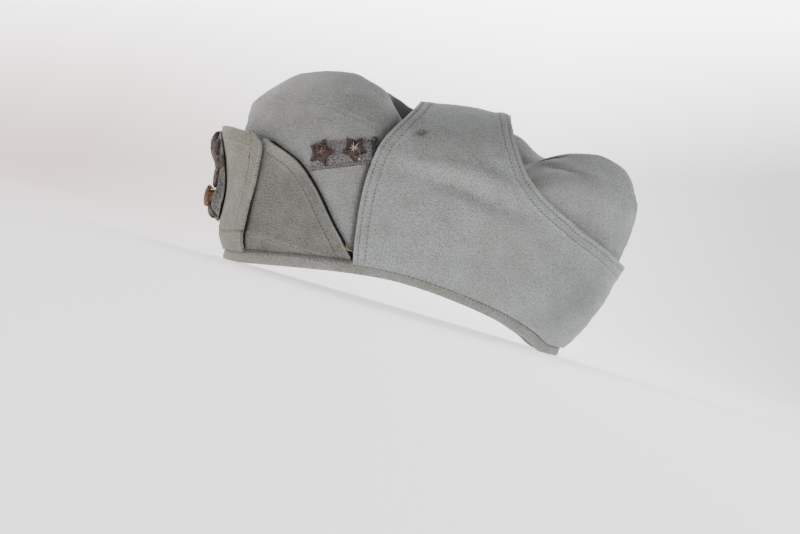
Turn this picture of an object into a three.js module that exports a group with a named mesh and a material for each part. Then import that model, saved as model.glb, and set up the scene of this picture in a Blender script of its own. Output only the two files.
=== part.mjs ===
// Soft military field cap with a folded-up front flap and peak, and a neck flap that is folded up
// round the back and sides. The ends of the neck flap rise over the top of the crown and lie on each
// other there. The cap stands on its rim as it would on a table, and it is hollow from below.
//
// Millimetres. X runs to the wearer's left, Y from the front to the back, Z up from the table.
// A place on a surface is given by "round", the degrees from the front centre (positive to the
// wearer's left, 180 at the back), and by "up", the share of the way from the rim (0) to the ridge
// of the crown (1). Past the ridge, "up" goes on down to the crease along the middle of the top.

import * as THREE from "three";

// How far the whole cap is moved along Y, so that its middle is at 0
const TO_MIDDLE = -0.57;

// Cloth thicknesses and the gap between sewn pieces
const CROWN_CLOTH = 1.5;
const FLAP_CLOTH = 2.2;
const TURNUP_CLOTH = 2.0;
const PEAK_CLOTH = 2.4;
const STRIP_CLOTH = 0.8;
const SEAM_GAP = 0.3;
const LAYER_GAP = 0.4;

// The bottom edge arches over the ears: its height above the table along the cap
const RIM_ARCH = [
  { y: -104, height: 0 },
  { y: -93, height: 0 },
  { y: -82, height: 2.8 },
  { y: -53, height: 8.7 },
  { y: -25, height: 13.4 },
  { y: 4, height: 15.9 },
  { y: 33, height: 14.6 },
  { y: 63, height: 10.6 },
  { y: 83, height: 5.2 },
  { y: 96, height: 0 },
  { y: 106, height: 0 },
];

// Horizontal outlines of the crown's outer face, from the rim to the ridge
const CROWN = [
  { up: 0.0, front: -98, back: 100.3, widest: 6, half: 76.3, square: 2.2 },
  { up: 0.25, front: -102.5, back: 113.2, widest: 7, half: 78.2, square: 2.2 },
  { up: 0.5, front: -107.4, back: 121.6, widest: 8, half: 77.2, square: 2.15 },
  { up: 0.66, front: -110.8, back: 125.4, widest: 8, half: 74, square: 2.1 },
  { up: 0.8, front: -111.2, back: 126.4, widest: 8, half: 67, square: 2.05 },
  { up: 0.9, front: -105, back: 123.4, widest: 8, half: 56, square: 2.0 },
  { up: 1.0, front: -90, back: 112, widest: 8, half: 36, square: 2.0 },
];

// Height of the ridges along the top: a hump in front, a saddle under the flap's ends, a hump behind
const RIDGE = [
  { y: -115, left: 112, right: 112 },
  { y: -90, left: 117, right: 117 },
  { y: -70, left: 123.5, right: 123.5 },
  { y: -47, left: 125, right: 125.5 },
  { y: -33, left: 117, right: 120.5 },
  { y: -21, left: 109, right: 116.5 },
  { y: 0, left: 106, right: 114.5 },
  { y: 30, left: 102, right: 116.5 },
  { y: 45, left: 100.5, right: 122 },
  { y: 54, left: 102, right: 121 },
  { y: 66, left: 109.5, right: 115.5 },
  { y: 80, left: 116.5, right: 113 },
  { y: 95, left: 120.5, right: 117 },
  { y: 111, left: 117.3, right: 116.8 },
  { y: 126, left: 112, right: 112 },
];

// The crease that runs along the middle of the top, and the slope down to it
const CREASE = [
  { y: -82, height: 115 },
  { y: -60, height: 114 },
  { y: -40, height: 108 },
  { y: -20, height: 99 },
  { y: 10, height: 95 },
  { y: 45, height: 97 },
  { y: 70, height: 102 },
  { y: 90, height: 108 },
  { y: 102, height: 111 },
];
const SLOPE = { up: 1.14, front: -84, back: 105, widest: 8, half: 15, square: 2.0, fall: 0.42 };
const CREASE_LINE = { up: 1.3, front: -80, back: 100, widest: 8, half: 0, square: 2.0 };

// The seam between the crown's side panels and its top, which lies lower in front than behind
const TOP_SEAM = [
  { round: 0, up: 0.85 },
  { round: 20, up: 0.87 },
  { round: 48, up: 0.81 },
  { round: 63, up: 0.78 },
  { round: 80, up: 0.8 },
  { round: 105, up: 0.9 },
  { round: 118, up: 0.935 },
  { round: 130, up: 0.88 },
  { round: 145, up: 0.872 },
  { round: 180, up: 0.9 },
];

// Outlines of the neck flap's outer face, the height of its top edge and its ends across the top
const FLAP = [
  { up: 0.0, front: -102.3, back: 104, widest: 6, half: 80.6, square: 2.2 },
  { up: 0.18, front: -106, back: 116.1, widest: 7, half: 82.6, square: 2.2 },
  { up: 0.42, front: -110, back: 125.2, widest: 8, half: 82.6, square: 2.15 },
  { up: 0.6, front: -112, back: 130, widest: 8, half: 80.4, square: 2.1 },
  { up: 0.76, front: -112, back: 131, widest: 8, half: 75.4, square: 2.05 },
  { up: 0.88, front: -106, back: 128, widest: 8, half: 65.5, square: 2.0 },
  { up: 1.0, front: -95, back: 118, widest: 8, half: 44, square: 2.0 },
];
const FLAP_TOP = [
  { y: -60, height: 116 },
  { y: -15, height: 118.6 },
  { y: 8, height: 122.4 },
  { y: 24, height: 124 },
  { y: 38, height: 123.8 },
  { y: 130, height: 124 },
];
const FLAP_ENDS = {
  left: [
    { up: 1.12, x: 26, rise: 1.2, back: 0 },
    { up: 1.3, x: 8, rise: 2.0, back: 0 },
    { up: 1.5, x: -9, rise: 2.2, back: 0 },
  ],
  right: [
    { up: 1.12, x: 26, rise: 0.3, back: 1 },
    { up: 1.3, x: 8, rise: -0.7, back: 2 },
    { up: 1.5, x: -9, rise: -1.1, back: 2 },
  ],
};

// Edges of the neck flap: the front edge and rear edge of its end, and its top edge round to the back
const FLAP_FRONT_EDGE = [
  { up: 0.06, round: 75 },
  { up: 0.26, round: 73.2 },
  { up: 0.4, round: 72.2 },
  { up: 0.55, round: 71.8 },
  { up: 0.72, round: 72.6 },
  { up: 0.88, round: 75.2 },
  { up: 1.02, round: 77.1 },
  { up: 1.5, round: 77.1 },
];
const FLAP_REAR_EDGE = [
  { up: 0.73, round: 111.5 },
  { up: 0.8, round: 109 },
  { up: 0.89, round: 106.5 },
  { up: 1.02, round: 105.4 },
  { up: 1.5, round: 105.4 },
];
const FLAP_BACK_EDGE = [
  { round: 111.5, up: 0.73 },
  { round: 117, up: 0.66 },
  { round: 123, up: 0.62 },
  { round: 129, up: 0.597 },
  { round: 138, up: 0.57 },
  { round: 148, up: 0.537 },
  { round: 161, up: 0.505 },
  { round: 179.9, up: 0.49 },
];

// The front flap and the peak on it: how far they stand off the crown, and their outlines
const TURNUP_STANDOFF = [
  { up: 0.0, front: 0.6, side: 0.5 },
  { up: 0.05, front: 0.7, side: 0.5 },
  { up: 0.155, front: 4.2, side: 0.8 },
  { up: 0.35, front: 2.4, side: 1.2 },
  { up: 0.64, front: 7.6, side: 2.4 },
  { up: 0.8, front: 10, side: 3 },
];
const TURNUP_TOP = [
  { round: 0, up: 0.65 },
  { round: 25, up: 0.645 },
  { round: 34.4, up: 0.624 },
  { round: 40.7, up: 0.576 },
  { round: 46.4, up: 0.528 },
  { round: 50.6, up: 0.482 },
  { round: 55.1, up: 0.418 },
  { round: 60, up: 0.337 },
  { round: 64.7, up: 0.25 },
  { round: 69.3, up: 0.168 },
  { round: 73.6, up: 0.088 },
];
const PEAK_TOP = [
  { round: 0, up: 0.66 },
  { round: 22, up: 0.656 },
  { round: 31, up: 0.648 },
  { round: 36, up: 0.625 },
];
const PEAK_SIDE = [
  { share: 0.0, round: 31.8 },
  { share: 0.3, round: 32 },
  { share: 0.65, round: 33.8 },
  { share: 0.88, round: 35.6 },
  { share: 0.96, round: 35.4 },
  { share: 1.0, round: 33.2 },
];

// Soft folds and dents: their middle, tilt, half length, half width and depth (less than 0 for a ridge)
const FOLDS = [
  { piece: "flap", side: "left", round: 97, up: 0.56, turn: 0, long: 30, wide: 4.5, depth: 1.2 },
  { piece: "flap", side: "left", round: 99, up: 0.66, turn: -4, long: 24, wide: 6, depth: -0.9 },
  { piece: "flap", side: "right", round: 92, up: 0.6, turn: 6, long: 30, wide: 5, depth: 1 },
  { piece: "crown", side: "left", round: 141, up: 0.6, turn: -10, long: 20, wide: 8, depth: 2.6 },
  { piece: "crown", side: "right", round: 136, up: 0.65, turn: -8, long: 22, wide: 8, depth: 2.2 },
  { piece: "crown", side: "left", round: 47, up: 0.76, turn: 4, long: 22, wide: 5, depth: 0.9 },
  { piece: "crown", side: "right", round: 40, up: 0.72, turn: -6, long: 18, wide: 6, depth: 1.1 },
];
const FOLD_SCALE = { perDegree: 1.75, perUp: 105 };

// The folded bottom edge that joins crown and flaps
const HEM = { height: 6, chamfer: 0.9, front: -103.4, back: 104.2, widest: 6, half: 80.8, square: 2.2 };

// The rank strip on the left side: its corners from a middle point, in the side view, and its tilt
const STRIP = { y: -46.2, z: 78.6, turn: 16.2, corners: [[-19.2, -8.4], [14.6, -6.6], [17.4, 6.4], [-11, 6.6]] };
const STAR_POINTS = 5;
const STAR = { reach: 6.4, notch: 3.1, height: 1.5, edge: 0.5 };
const STAR_MIDDLES = {
  rank_star_front: { y: -61.4, z: 74.6, turn: 10 },
  rank_star_rear: { y: -42, z: 82.2, turn: 22 },
};

// The embroidered insignia at the front centre, in the front view: reach of each outline by its
// direction from the middle (90 is up), on one half, and the height of its dome
const BADGE_CLOTH = 1.2;
const BADGE = {
  badge_backing: {
    z: 47,
    edge: 1,
    dome: 0.2,
    outline: [
      { angle: -90, reach: 27 },
      { angle: -60, reach: 23 },
      { angle: -30, reach: 16.5 },
      { angle: 0, reach: 13.5 },
      { angle: 35, reach: 17 },
      { angle: 60, reach: 23.5 },
      { angle: 90, reach: 25.5 },
    ],
  },
  badge_spray: {
    z: 57.5,
    edge: 1,
    dome: 3.4,
    outline: [
      { angle: -90, reach: 3.5 },
      { angle: -40, reach: 3.5 },
      { angle: -8, reach: 5 },
      { angle: 8, reach: 10.5 },
      { angle: 26, reach: 7 },
      { angle: 42, reach: 12.5 },
      { angle: 58, reach: 8.5 },
      { angle: 74, reach: 12 },
      { angle: 82, reach: 9.5 },
      { angle: 90, reach: 13.6 },
    ],
  },
  badge_collar: {
    z: 46.4,
    edge: 1,
    dome: 4.6,
    outline: [
      { angle: -90, reach: 5.6 },
      { angle: -30, reach: 7.5 },
      { angle: 0, reach: 9.5 },
      { angle: 20, reach: 6.5 },
      { angle: 60, reach: 5 },
      { angle: 90, reach: 6.8 },
    ],
  },
  badge_base: {
    z: 25,
    edge: 1,
    dome: 2.4,
    outline: [
      { angle: -90, reach: 4.4 },
      { angle: -62, reach: 5 },
      { angle: -30, reach: 11.5 },
      { angle: -12, reach: 8 },
      { angle: 8, reach: 12.5 },
      { angle: 35, reach: 6.5 },
      { angle: 90, reach: 3.4 },
    ],
  },
};
const BOSS = { z: 34.4, radius: 6, height: 9 };

// How finely the curved pieces are divided
const STEPS = {
  sideRound: 30,
  sideUp: 7,
  topRound: 60,
  topUp: 7,
  hemRound: 72,
  flap: { end: 8, back: 13, low: 8, high: 9 },
};

// Value of a column at a place along a table, on a smooth curve through its rows
function along(rows, key, column, at) {
  const last = rows.length - 1;
  if (at <= rows[0][key]) return rows[0][column];
  if (at >= rows[last][key]) return rows[last][column];
  const k = rows.findIndex((row, i) => i < last && at <= rows[i + 1][key]);
  const slope = (i) => {
    const [a, b] = [rows[Math.max(0, i - 1)], rows[Math.min(last, i + 1)]];
    const turns = (b[column] - rows[i][column]) * (rows[i][column] - a[column]) <= 0;
    return turns && i > 0 && i < last ? 0 : (b[column] - a[column]) / (b[key] - a[key]);
  };
  const span = rows[k + 1][key] - rows[k][key];
  const t = (at - rows[k][key]) / span;
  const here = (1 + 2 * t) * (1 - t) ** 2 * rows[k][column];
  const next = t * t * (3 - 2 * t) * rows[k + 1][column];
  const bend = t * (1 - t) ** 2 * slope(k) - t * t * (1 - t) * slope(k + 1);
  return here + next + bend * span;
}

const radians = (degrees) => (degrees * Math.PI) / 180;
const rimHeight = (y) => along(RIM_ARCH, "y", "height", y);

// A point of one horizontal outline, without its height
function outlinePoint(row, round) {
  const c = Math.cos(radians(round));
  const s = Math.sin(radians(round));
  const reach = c > 0 ? row.widest - row.front : row.back - row.widest;
  const power = 2 / row.square;
  const y = row.widest - Math.sign(c) * reach * Math.abs(c) ** power;
  return { x: Math.sign(s) * row.half * Math.abs(s) ** power, y };
}

// A smooth curve through stations that each have an "up" and a place
function stationPoint(stations, up) {
  return new THREE.Vector3(
    along(stations, "up", "x", up),
    along(stations, "up", "y", up),
    along(stations, "up", "z", up),
  );
}

// Moves a point of a piece inwards by the depth of the folds there
function folded(piece, round, up, point) {
  let depth = 0;
  for (const fold of FOLDS) {
    if (fold.piece !== piece || (fold.side === "left") !== (round >= 0)) continue;
    const across = (Math.abs(round) - fold.round) * FOLD_SCALE.perDegree;
    const above = (up - fold.up) * FOLD_SCALE.perUp;
    const [c, s] = [Math.cos(radians(fold.turn)), Math.sin(radians(fold.turn))];
    const a = (across * c + above * s) / fold.long;
    const b = (above * c - across * s) / fold.wide;
    depth += fold.depth * Math.exp(-a * a - b * b);
  }
  const inwards = new THREE.Vector3(-point.x, CREASE_LINE.widest - point.y, 0).normalize();
  return point.addScaledVector(inwards, depth);
}

// A point of the crown's outer face
function crownPoint(round, up) {
  const side = round < 0 ? "right" : "left";
  const stations = CROWN.map((row) => {
    const { x, y } = outlinePoint(row, round);
    const z = rimHeight(y) * (1 - row.up) + along(RIDGE, "y", side, y) * row.up;
    return { up: row.up, x, y, z };
  });
  const crease = outlinePoint(CREASE_LINE, round);
  crease.z = along(CREASE, "y", "height", crease.y);
  const slope = outlinePoint(SLOPE, round);
  const ridge = along(RIDGE, "y", side, slope.y);
  slope.z = ridge - SLOPE.fall * (ridge - along(CREASE, "y", "height", slope.y));
  stations.push({ up: SLOPE.up, ...slope }, { up: CREASE_LINE.up, ...crease });
  return folded("crown", round, up, stationPoint(stations, up));
}

// A point of the neck flap's outer face
function flapPoint(round, up) {
  const side = round < 0 ? "right" : "left";
  const stations = FLAP.map((row) => {
    const { x, y } = outlinePoint(row, round);
    const z = rimHeight(y) * (1 - row.up) + along(FLAP_TOP, "y", "height", y) * row.up;
    return { up: row.up, x, y, z };
  });
  const { y, z } = stations[stations.length - 1];
  const outwards = round < 0 ? -1 : 1;
  for (const row of FLAP_ENDS[side]) {
    stations.push({ up: row.up, x: outwards * row.x, y: y + row.back, z: z + row.rise });
  }
  return folded("flap", round, up, stationPoint(stations, up));
}

// The way a surface faces at a place, from two short steps along it
function facing(surface, round, up) {
  const step = 0.02;
  const place = surface(round, up);
  const across = surface(round + step, up).sub(surface(round - step, up));
  const upwards = surface(round, up + step / 10).sub(place);
  return across.cross(upwards).normalize();
}

// A point that stands off the crown by a distance
function offCrown(round, up, distance) {
  return crownPoint(round, up).addScaledVector(facing(crownPoint, round, up), distance);
}

// The front flap's gap to the crown, wide at the front centre and narrow at its tips
function turnupGap(round, up) {
  const tip = TURNUP_TOP[TURNUP_TOP.length - 1].round;
  const front = Math.cos(radians((Math.min(Math.abs(round) / tip, 1) * 180) / 2)) ** 1.5;
  const side = along(TURNUP_STANDOFF, "up", "side", up);
  return side + front * (along(TURNUP_STANDOFF, "up", "front", up) - side);
}

// An open sheet: a grid of places on a surface over columns and rows, facing outwards
function gridSheet(columns, rows, surface, placeAt) {
  const points = [];
  const normals = [];
  const faces = [];
  for (let j = 0; j <= rows; j++) {
    for (let i = 0; i <= columns; i++) {
      const { round, up } = placeAt(i / columns, j / rows);
      points.push(surface(round, up));
      normals.push(facing(surface, round, up));
    }
  }
  for (let j = 0; j < rows; j++) {
    for (let i = 0; i < columns; i++) {
      const a = j * (columns + 1) + i;
      faces.push([a, a + 1, a + columns + 2, a + columns + 1]);
    }
  }
  return { points, faces, normals };
}

// Mean direction of the faces that meet at each point of a sheet
function sheetNormals({ points, faces }) {
  const normals = points.map(() => new THREE.Vector3());
  for (const [a, b, c, d] of faces) {
    const one = points[c].clone().sub(points[a]);
    const other = points[d].clone().sub(points[b]);
    const normal = one.cross(other);
    for (const corner of [a, b, c, d]) normals[corner].add(normal);
  }
  return normals.map((normal) => normal.normalize());
}

// A closed wall: the sheet, its copy one thickness further in, and the edge between them
function wall(sheet, thickness) {
  const { points, faces } = sheet;
  const normals = sheet.normals ?? sheetNormals(sheet);
  const count = points.length;
  const inner = points.map((p, i) => p.clone().addScaledVector(normals[i], -thickness));
  const index = [];
  const quad = (a, b, c, d) => index.push(a, b, c, a, c, d);
  const edges = new Set();
  for (const face of faces) {
    quad(...face);
    quad(...face.map((corner) => corner + count).reverse());
    face.forEach((corner, i) => edges.add(`${corner},${face[(i + 1) % 4]}`));
  }
  for (const edge of edges) {
    const [a, b] = edge.split(",").map(Number);
    if (!edges.has(`${b},${a}`)) quad(b, a, a + count, b + count);
  }
  return solid([...points, ...inner], index);
}

function solid(points, index) {
  const geometry = new THREE.BufferGeometry().setFromPoints(points);
  geometry.setIndex(index);
  geometry.computeVertexNormals();
  return geometry;
}

const blend = (a, b, t) => a + (b - a) * t;

// How far up a surface a height above the bottom edge is reached
function upAt(surface, round, height) {
  let up = 0.05;
  for (let pass = 0; pass < 5; pass++) {
    const { y, z } = surface(round, up);
    up += (rimHeight(y) + height - z) / 100;
  }
  return up;
}
const aboveHem = (surface, round) => upAt(surface, round, HEM.height + LAYER_GAP);

// One side panel of the crown, from the rim's hem to the top seam
function crownSide(side) {
  const seam = (SEAM_GAP / 2 / 100) * (180 / Math.PI);
  const sheet = gridSheet(STEPS.sideRound, STEPS.sideUp, crownPoint, (i, j) => {
    const round = side > 0 ? blend(seam, 180 - seam, i) : blend(-180 + seam, -seam, i);
    const top = along(TOP_SEAM, "round", "up", Math.abs(round)) - SEAM_GAP / 2 / 115;
    return { round, up: blend(aboveHem(crownPoint, round), top, j) };
  });
  return wall(sheet, CROWN_CLOTH);
}

// The crown's top: rings from the seam over the ridges and down to the crease, which both sides share
function crownTop() {
  const around = STEPS.topRound;
  const points = [];
  const faces = [];
  const roundOf = (i) => blend(0, 360, i / around) - (i > around / 2 ? 360 : 0);
  for (let j = 0; j < STEPS.topUp; j++) {
    for (let i = 0; i < around; i++) {
      const round = roundOf(i);
      const seam = along(TOP_SEAM, "round", "up", Math.abs(round)) + SEAM_GAP / 2 / 115;
      points.push(crownPoint(round, blend(seam, CREASE_LINE.up, j / STEPS.topUp)));
    }
  }
  const crease = points.length;
  for (let i = 0; i <= around / 2; i++) points.push(crownPoint(roundOf(i), CREASE_LINE.up));
  for (let j = 0; j < STEPS.topUp; j++) {
    for (let i = 0; i < around; i++) {
      const next = (i + 1) % around;
      const a = j * around;
      const inner = j + 1 < STEPS.topUp;
      const above = (k) => (inner ? a + around + k : crease + Math.min(k, around - k));
      faces.push([a + i, a + next, above(next), above(i)]);
    }
  }
  return wall({ points, faces }, CROWN_CLOTH);
}

// The hem: a ring whose flat bottom follows the arched rim
function hemBand() {
  const around = STEPS.hemRound;
  const points = [];
  const index = [];
  const section = (round) => {
    const out = outlinePoint(HEM, round);
    const crown = outlinePoint(CROWN[0], round);
    const across = new THREE.Vector2(out.x - crown.x, out.y - crown.y);
    const inwards = across.clone().normalize().multiplyScalar(-CROWN_CLOTH);
    const inside = { x: crown.x + inwards.x, y: crown.y + inwards.y };
    const floor = rimHeight(out.y);
    const share = HEM.chamfer / Math.hypot(out.x - inside.x, out.y - inside.y);
    const at = (t, z) =>
      new THREE.Vector3(blend(inside.x, out.x, t), blend(inside.y, out.y, t), floor + z);
    return [
      at(share, 0),
      at(1 - share, 0),
      at(1, HEM.chamfer),
      at(1, HEM.height),
      at(0, HEM.height),
      at(0, HEM.chamfer),
    ];
  };
  for (let i = 0; i < around; i++) {
    const whole = (360 * i) / around;
    points.push(...section(whole > 180 ? whole - 360 : whole));
  }
  const sides = points.length / around;
  for (let i = 0; i < around; i++) {
    for (let k = 0; k < sides; k++) {
      const a = i * sides + k;
      const b = i * sides + ((k + 1) % sides);
      const c = ((i + 1) % around) * sides + ((k + 1) % sides);
      const d = ((i + 1) % around) * sides + k;
      index.push(a, d, c, a, c, b);
    }
  }
  return solid(points, index);
}

// One half of the neck flap: a low part that goes round to the seam at the back centre, and its
// end, which rises on from the front of the low part and crosses the top of the crown
function neckFlap(side) {
  const { end, back, low, high } = STEPS.flap;
  const corner = FLAP_BACK_EDGE[0];
  const last = FLAP_BACK_EDGE[FLAP_BACK_EDGE.length - 1].round;
  const placeAt = (i, j) => {
    const share = i / end;
    if (j > low) {
      const up = blend(corner.up, 1.5, (j - low) / high);
      const front = along(FLAP_FRONT_EDGE, "up", "round", up);
      return { round: blend(front, along(FLAP_REAR_EDGE, "up", "round", up), share), up };
    }
    const whole = share > 1 ? blend(corner.round, last, (i - end) / back) : corner.round;
    const top = share > 1 ? along(FLAP_BACK_EDGE, "round", "up", whole) : corner.up;
    const floor = aboveHem(flapPoint, Math.max(whole, 60));
    const up = blend(floor, top, j / low);
    const round = share > 1 ? whole : blend(along(FLAP_FRONT_EDGE, "up", "round", up), whole, share);
    return { round, up };
  };
  const sheet = { points: [], normals: [], faces: [] };
  const indexOf = new Map();
  const at = (i, j) => {
    const key = `${i},${j}`;
    if (!indexOf.has(key)) {
      const { round, up } = placeAt(i, j);
      indexOf.set(key, sheet.points.length);
      sheet.points.push(flapPoint(side * round, up));
      sheet.normals.push(facing(flapPoint, side * round, up));
    }
    return indexOf.get(key);
  };
  for (let j = 0; j < low + high; j++) {
    for (let i = 0; i < (j < low ? end + back : end); i++) {
      const face = [at(i, j), at(i + 1, j), at(i + 1, j + 1), at(i, j + 1)];
      sheet.faces.push(side > 0 ? face : face.reverse());
    }
  }
  return wall(sheet, FLAP_CLOTH);
}

// The front flap that is folded up against the crown, tapering to a tip on each side
function turnup() {
  const tip = TURNUP_TOP[TURNUP_TOP.length - 1].round;
  const surface = (round, up) => offCrown(round, up, turnupGap(round, up) + TURNUP_CLOTH);
  const sheet = gridSheet(28, 7, surface, (i, j) => {
    const round = blend(-tip, tip, i);
    const top = along(TURNUP_TOP, "round", "up", Math.abs(round));
    return { round, up: blend(aboveHem(surface, round), top, j) };
  });
  return wall(sheet, TURNUP_CLOTH);
}

const peakLayers = TURNUP_CLOTH + LAYER_GAP + PEAK_CLOTH;
const peakFace = (round, up) => offCrown(round, up, turnupGap(round, up) + peakLayers);

// The stiff peak that is folded up in front of the front flap
function peak() {
  const sheet = gridSheet(16, 9, peakFace, (i, j) => {
    const edge = along(PEAK_SIDE, "share", "round", j);
    const round = blend(-edge, edge, i);
    const top = along(PEAK_TOP, "round", "up", Math.abs(round));
    return { round, up: blend(aboveHem(peakFace, round), top, j) };
  });
  return wall(sheet, PEAK_CLOTH);
}

// The place on a surface that has the wanted height and the wanted position along x or y
function placeWith(surface, axis, wanted, z, start) {
  let { round, up } = start;
  for (let pass = 0; pass < 9; pass++) {
    const here = surface(round, up);
    const turned = surface(round + 0.5, up).sub(here);
    const raised = surface(round, up + 0.01).sub(here);
    const missing = { side: wanted - here[axis], z: z - here.z };
    const size = turned[axis] * raised.z - raised[axis] * turned.z;
    round += (0.5 * (missing.side * raised.z - raised[axis] * missing.z)) / size;
    up += (0.01 * (turned[axis] * missing.z - missing.side * turned.z)) / size;
  }
  return { round, up };
}

// A closed pad on a surface: a domed outline that stands off by a gap. Each place of the pad is
// given in the plain side or front view by "flat", and the outline by its reach in each direction.
function pad({ surface, axis, flat, start, gap, edge, dome, reachAt, directions, rings }) {
  const points = [];
  const index = [];
  const place = (share, direction, height) => {
    const reach = share * reachAt(direction);
    const { side, z } = flat(reach * Math.cos(radians(direction)), reach * Math.sin(radians(direction)));
    const { round, up } = placeWith(surface, axis, side, z, start);
    return surface(round, up).addScaledVector(facing(surface, round, up), height);
  };
  const layer = (heightAt) => {
    const first = points.length;
    points.push(place(0, 0, heightAt(0)));
    for (const share of rings) {
      for (const direction of directions) points.push(place(share, direction, heightAt(share)));
    }
    return first;
  };
  const top = layer((share) => gap + edge + dome * (1 - share ** 2.5));
  const bottom = layer(() => gap);
  const n = directions.length;
  const triangle = (a, b, c) => index.push(a + top, b + top, c + top, a + bottom, c + bottom, b + bottom);
  for (let i = 0; i < n; i++) {
    const next = (i + 1) % n;
    triangle(0, 1 + i, 1 + next);
    for (let ring = 1; ring < rings.length; ring++) {
      const [near, far] = [1 + (ring - 1) * n, 1 + ring * n];
      triangle(near + i, far + i, far + next);
      triangle(near + i, far + next, near + next);
    }
    const rim = 1 + (rings.length - 1) * n;
    index.push(rim + i + bottom, rim + next + bottom, rim + next + top);
    index.push(rim + i + bottom, rim + next + top, rim + i + top);
  }
  return solid(points, index);
}

// The side view of the wearer's left side, tilted about a middle point
function tilted({ y, z, turn }) {
  const [c, s] = [Math.cos(radians(turn)), Math.sin(radians(turn))];
  return (a, b) => ({ side: y + a * c - b * s, z: z + a * s + b * c });
}

function rankStrip() {
  const [across, along] = [10, 4];
  const [a, b, c, d] = STRIP.corners;
  const flat = tilted(STRIP);
  const surface = (round, up) => offCrown(round, up, SEAM_GAP + STRIP_CLOTH);
  const sheet = gridSheet(across, along, surface, (i, j) => {
    const at = (k) => blend(blend(a[k], b[k], i), blend(d[k], c[k], i), j);
    const { side, z } = flat(at(0), at(1));
    return placeWith(surface, "y", side, z, { round: 63, up: 0.62 });
  });
  return wall(sheet, STRIP_CLOTH);
}

function rankStar(middle) {
  const half = 360 / STAR_POINTS / 2;
  const directions = Array.from({ length: 2 * STAR_POINTS }, (_, k) => 90 + k * half);
  const tip = (direction) => Math.round((direction - 90) / half) % 2 === 0;
  return pad({
    surface: (round, up) => offCrown(round, up, SEAM_GAP + STRIP_CLOTH),
    axis: "y",
    flat: tilted(middle),
    start: { round: 60, up: 0.6 },
    gap: SEAM_GAP,
    edge: STAR.edge,
    dome: STAR.height - STAR.edge,
    reachAt: (direction) => (tip(direction) ? STAR.reach : STAR.notch),
    directions,
    rings: [0.5, 1],
  });
}

function badgePad({ z, edge, dome, outline }, gap, count) {
  const onRightHalf = (direction) => {
    const turn = ((((direction + 90) % 360) + 360) % 360) - 90;
    return turn > 90 ? 180 - turn : turn;
  };
  return pad({
    surface: peakFace,
    axis: "x",
    flat: (a, b) => ({ side: a, z: z + b }),
    start: { round: 0, up: 0.4 },
    gap,
    edge,
    dome,
    reachAt: (direction) => along(outline, "angle", "reach", onRightHalf(direction)),
    directions: Array.from({ length: count }, (_, k) => -90 + (360 * k) / count),
    rings: [0.45, 0.8, 1],
  });
}

// The domed boss in the middle of the insignia, wound like a coil
function badgeBoss() {
  const { round, up } = placeWith(peakFace, "x", 0, BOSS.z, { round: 0, up: 0.3 });
  const middle = peakFace(round, up);
  const outwards = facing(peakFace, round, up);
  const { radius, height } = BOSS;
  const profile = [
    [0, 0],
    [radius * 0.7, 0],
    [radius * 0.75, height * 0.45],
    [radius, height * 0.5],
    [radius * 1.05, height * 0.68],
    [radius * 0.98, height * 0.86],
    [radius * 0.72, height * 0.88],
    [radius * 0.5, height],
    [0, height * 1.08],
  ];
  const geometry = new THREE.LatheGeometry(profile.map(([r, h]) => new THREE.Vector2(r, h)), 20);
  geometry.applyQuaternion(new THREE.Quaternion().setFromUnitVectors(new THREE.Vector3(0, 1, 0), outwards));
  const base = middle.addScaledVector(outwards, SEAM_GAP + BADGE_CLOTH + 2 * LAYER_GAP);
  geometry.translate(base.x, base.y, base.z);
  return geometry;
}

const cloth = (colour) => new THREE.MeshStandardMaterial({ color: colour, roughness: 0.9, metalness: 0 });
const CLOTH = cloth(0x8c918c);
const STRIP_GREY = cloth(0x77757b);
const DARK_THREAD = cloth(0x4a3632);
const METAL_THREAD = new THREE.MeshStandardMaterial({ color: 0x9a6b3c, roughness: 0.45, metalness: 1 });

const cap = new THREE.Group();
cap.position.y = TO_MIDDLE;
function add(name, geometry, material) {
  const mesh = new THREE.Mesh(geometry, material);
  mesh.name = name;
  cap.add(mesh);
}

add("crown_side_left", crownSide(1), CLOTH);
add("crown_side_right", crownSide(-1), CLOTH);
add("crown_top", crownTop(), CLOTH);
add("hem_band", hemBand(), CLOTH);
add("neck_flap_left", neckFlap(1), CLOTH);
add("neck_flap_right", neckFlap(-1), CLOTH);
add("front_flap", turnup(), CLOTH);
add("peak", peak(), CLOTH);
add("rank_strip", rankStrip(), STRIP_GREY);
for (const [name, middle] of Object.entries(STAR_MIDDLES)) add(name, rankStar(middle), DARK_THREAD);
for (const [name, row] of Object.entries(BADGE)) {
  const backing = name === "badge_backing";
  const gap = backing ? SEAM_GAP : SEAM_GAP + BADGE_CLOTH + LAYER_GAP;
  add(name, badgePad(row, gap, backing ? 24 : 36), backing ? CLOTH : DARK_THREAD);
}
add("badge_boss", badgeBoss(), METAL_THREAD);

export default cap;
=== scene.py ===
"""A soft cotton field cap: creased crown, folded-up peak and neck flap, rank strip and insignia.

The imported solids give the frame. Every solid is replaced here by a modelled piece of cloth or
embroidery in the same place. Tables and sizes are in millimetres, meshes are in metres.
X runs to the wearer's left, Y to the back, Z up. A place on a surface is given by "turn", the
degrees from the front centre (positive to the wearer's left), and by "up", the share of the way
from the rim to the ridge of the crown.
"""

from __future__ import annotations

import logging
import math
from collections.abc import Callable
from dataclasses import dataclass, field
from enum import Enum

import bpy
import numpy as np
from mathutils import Matrix, Vector, noise

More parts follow.
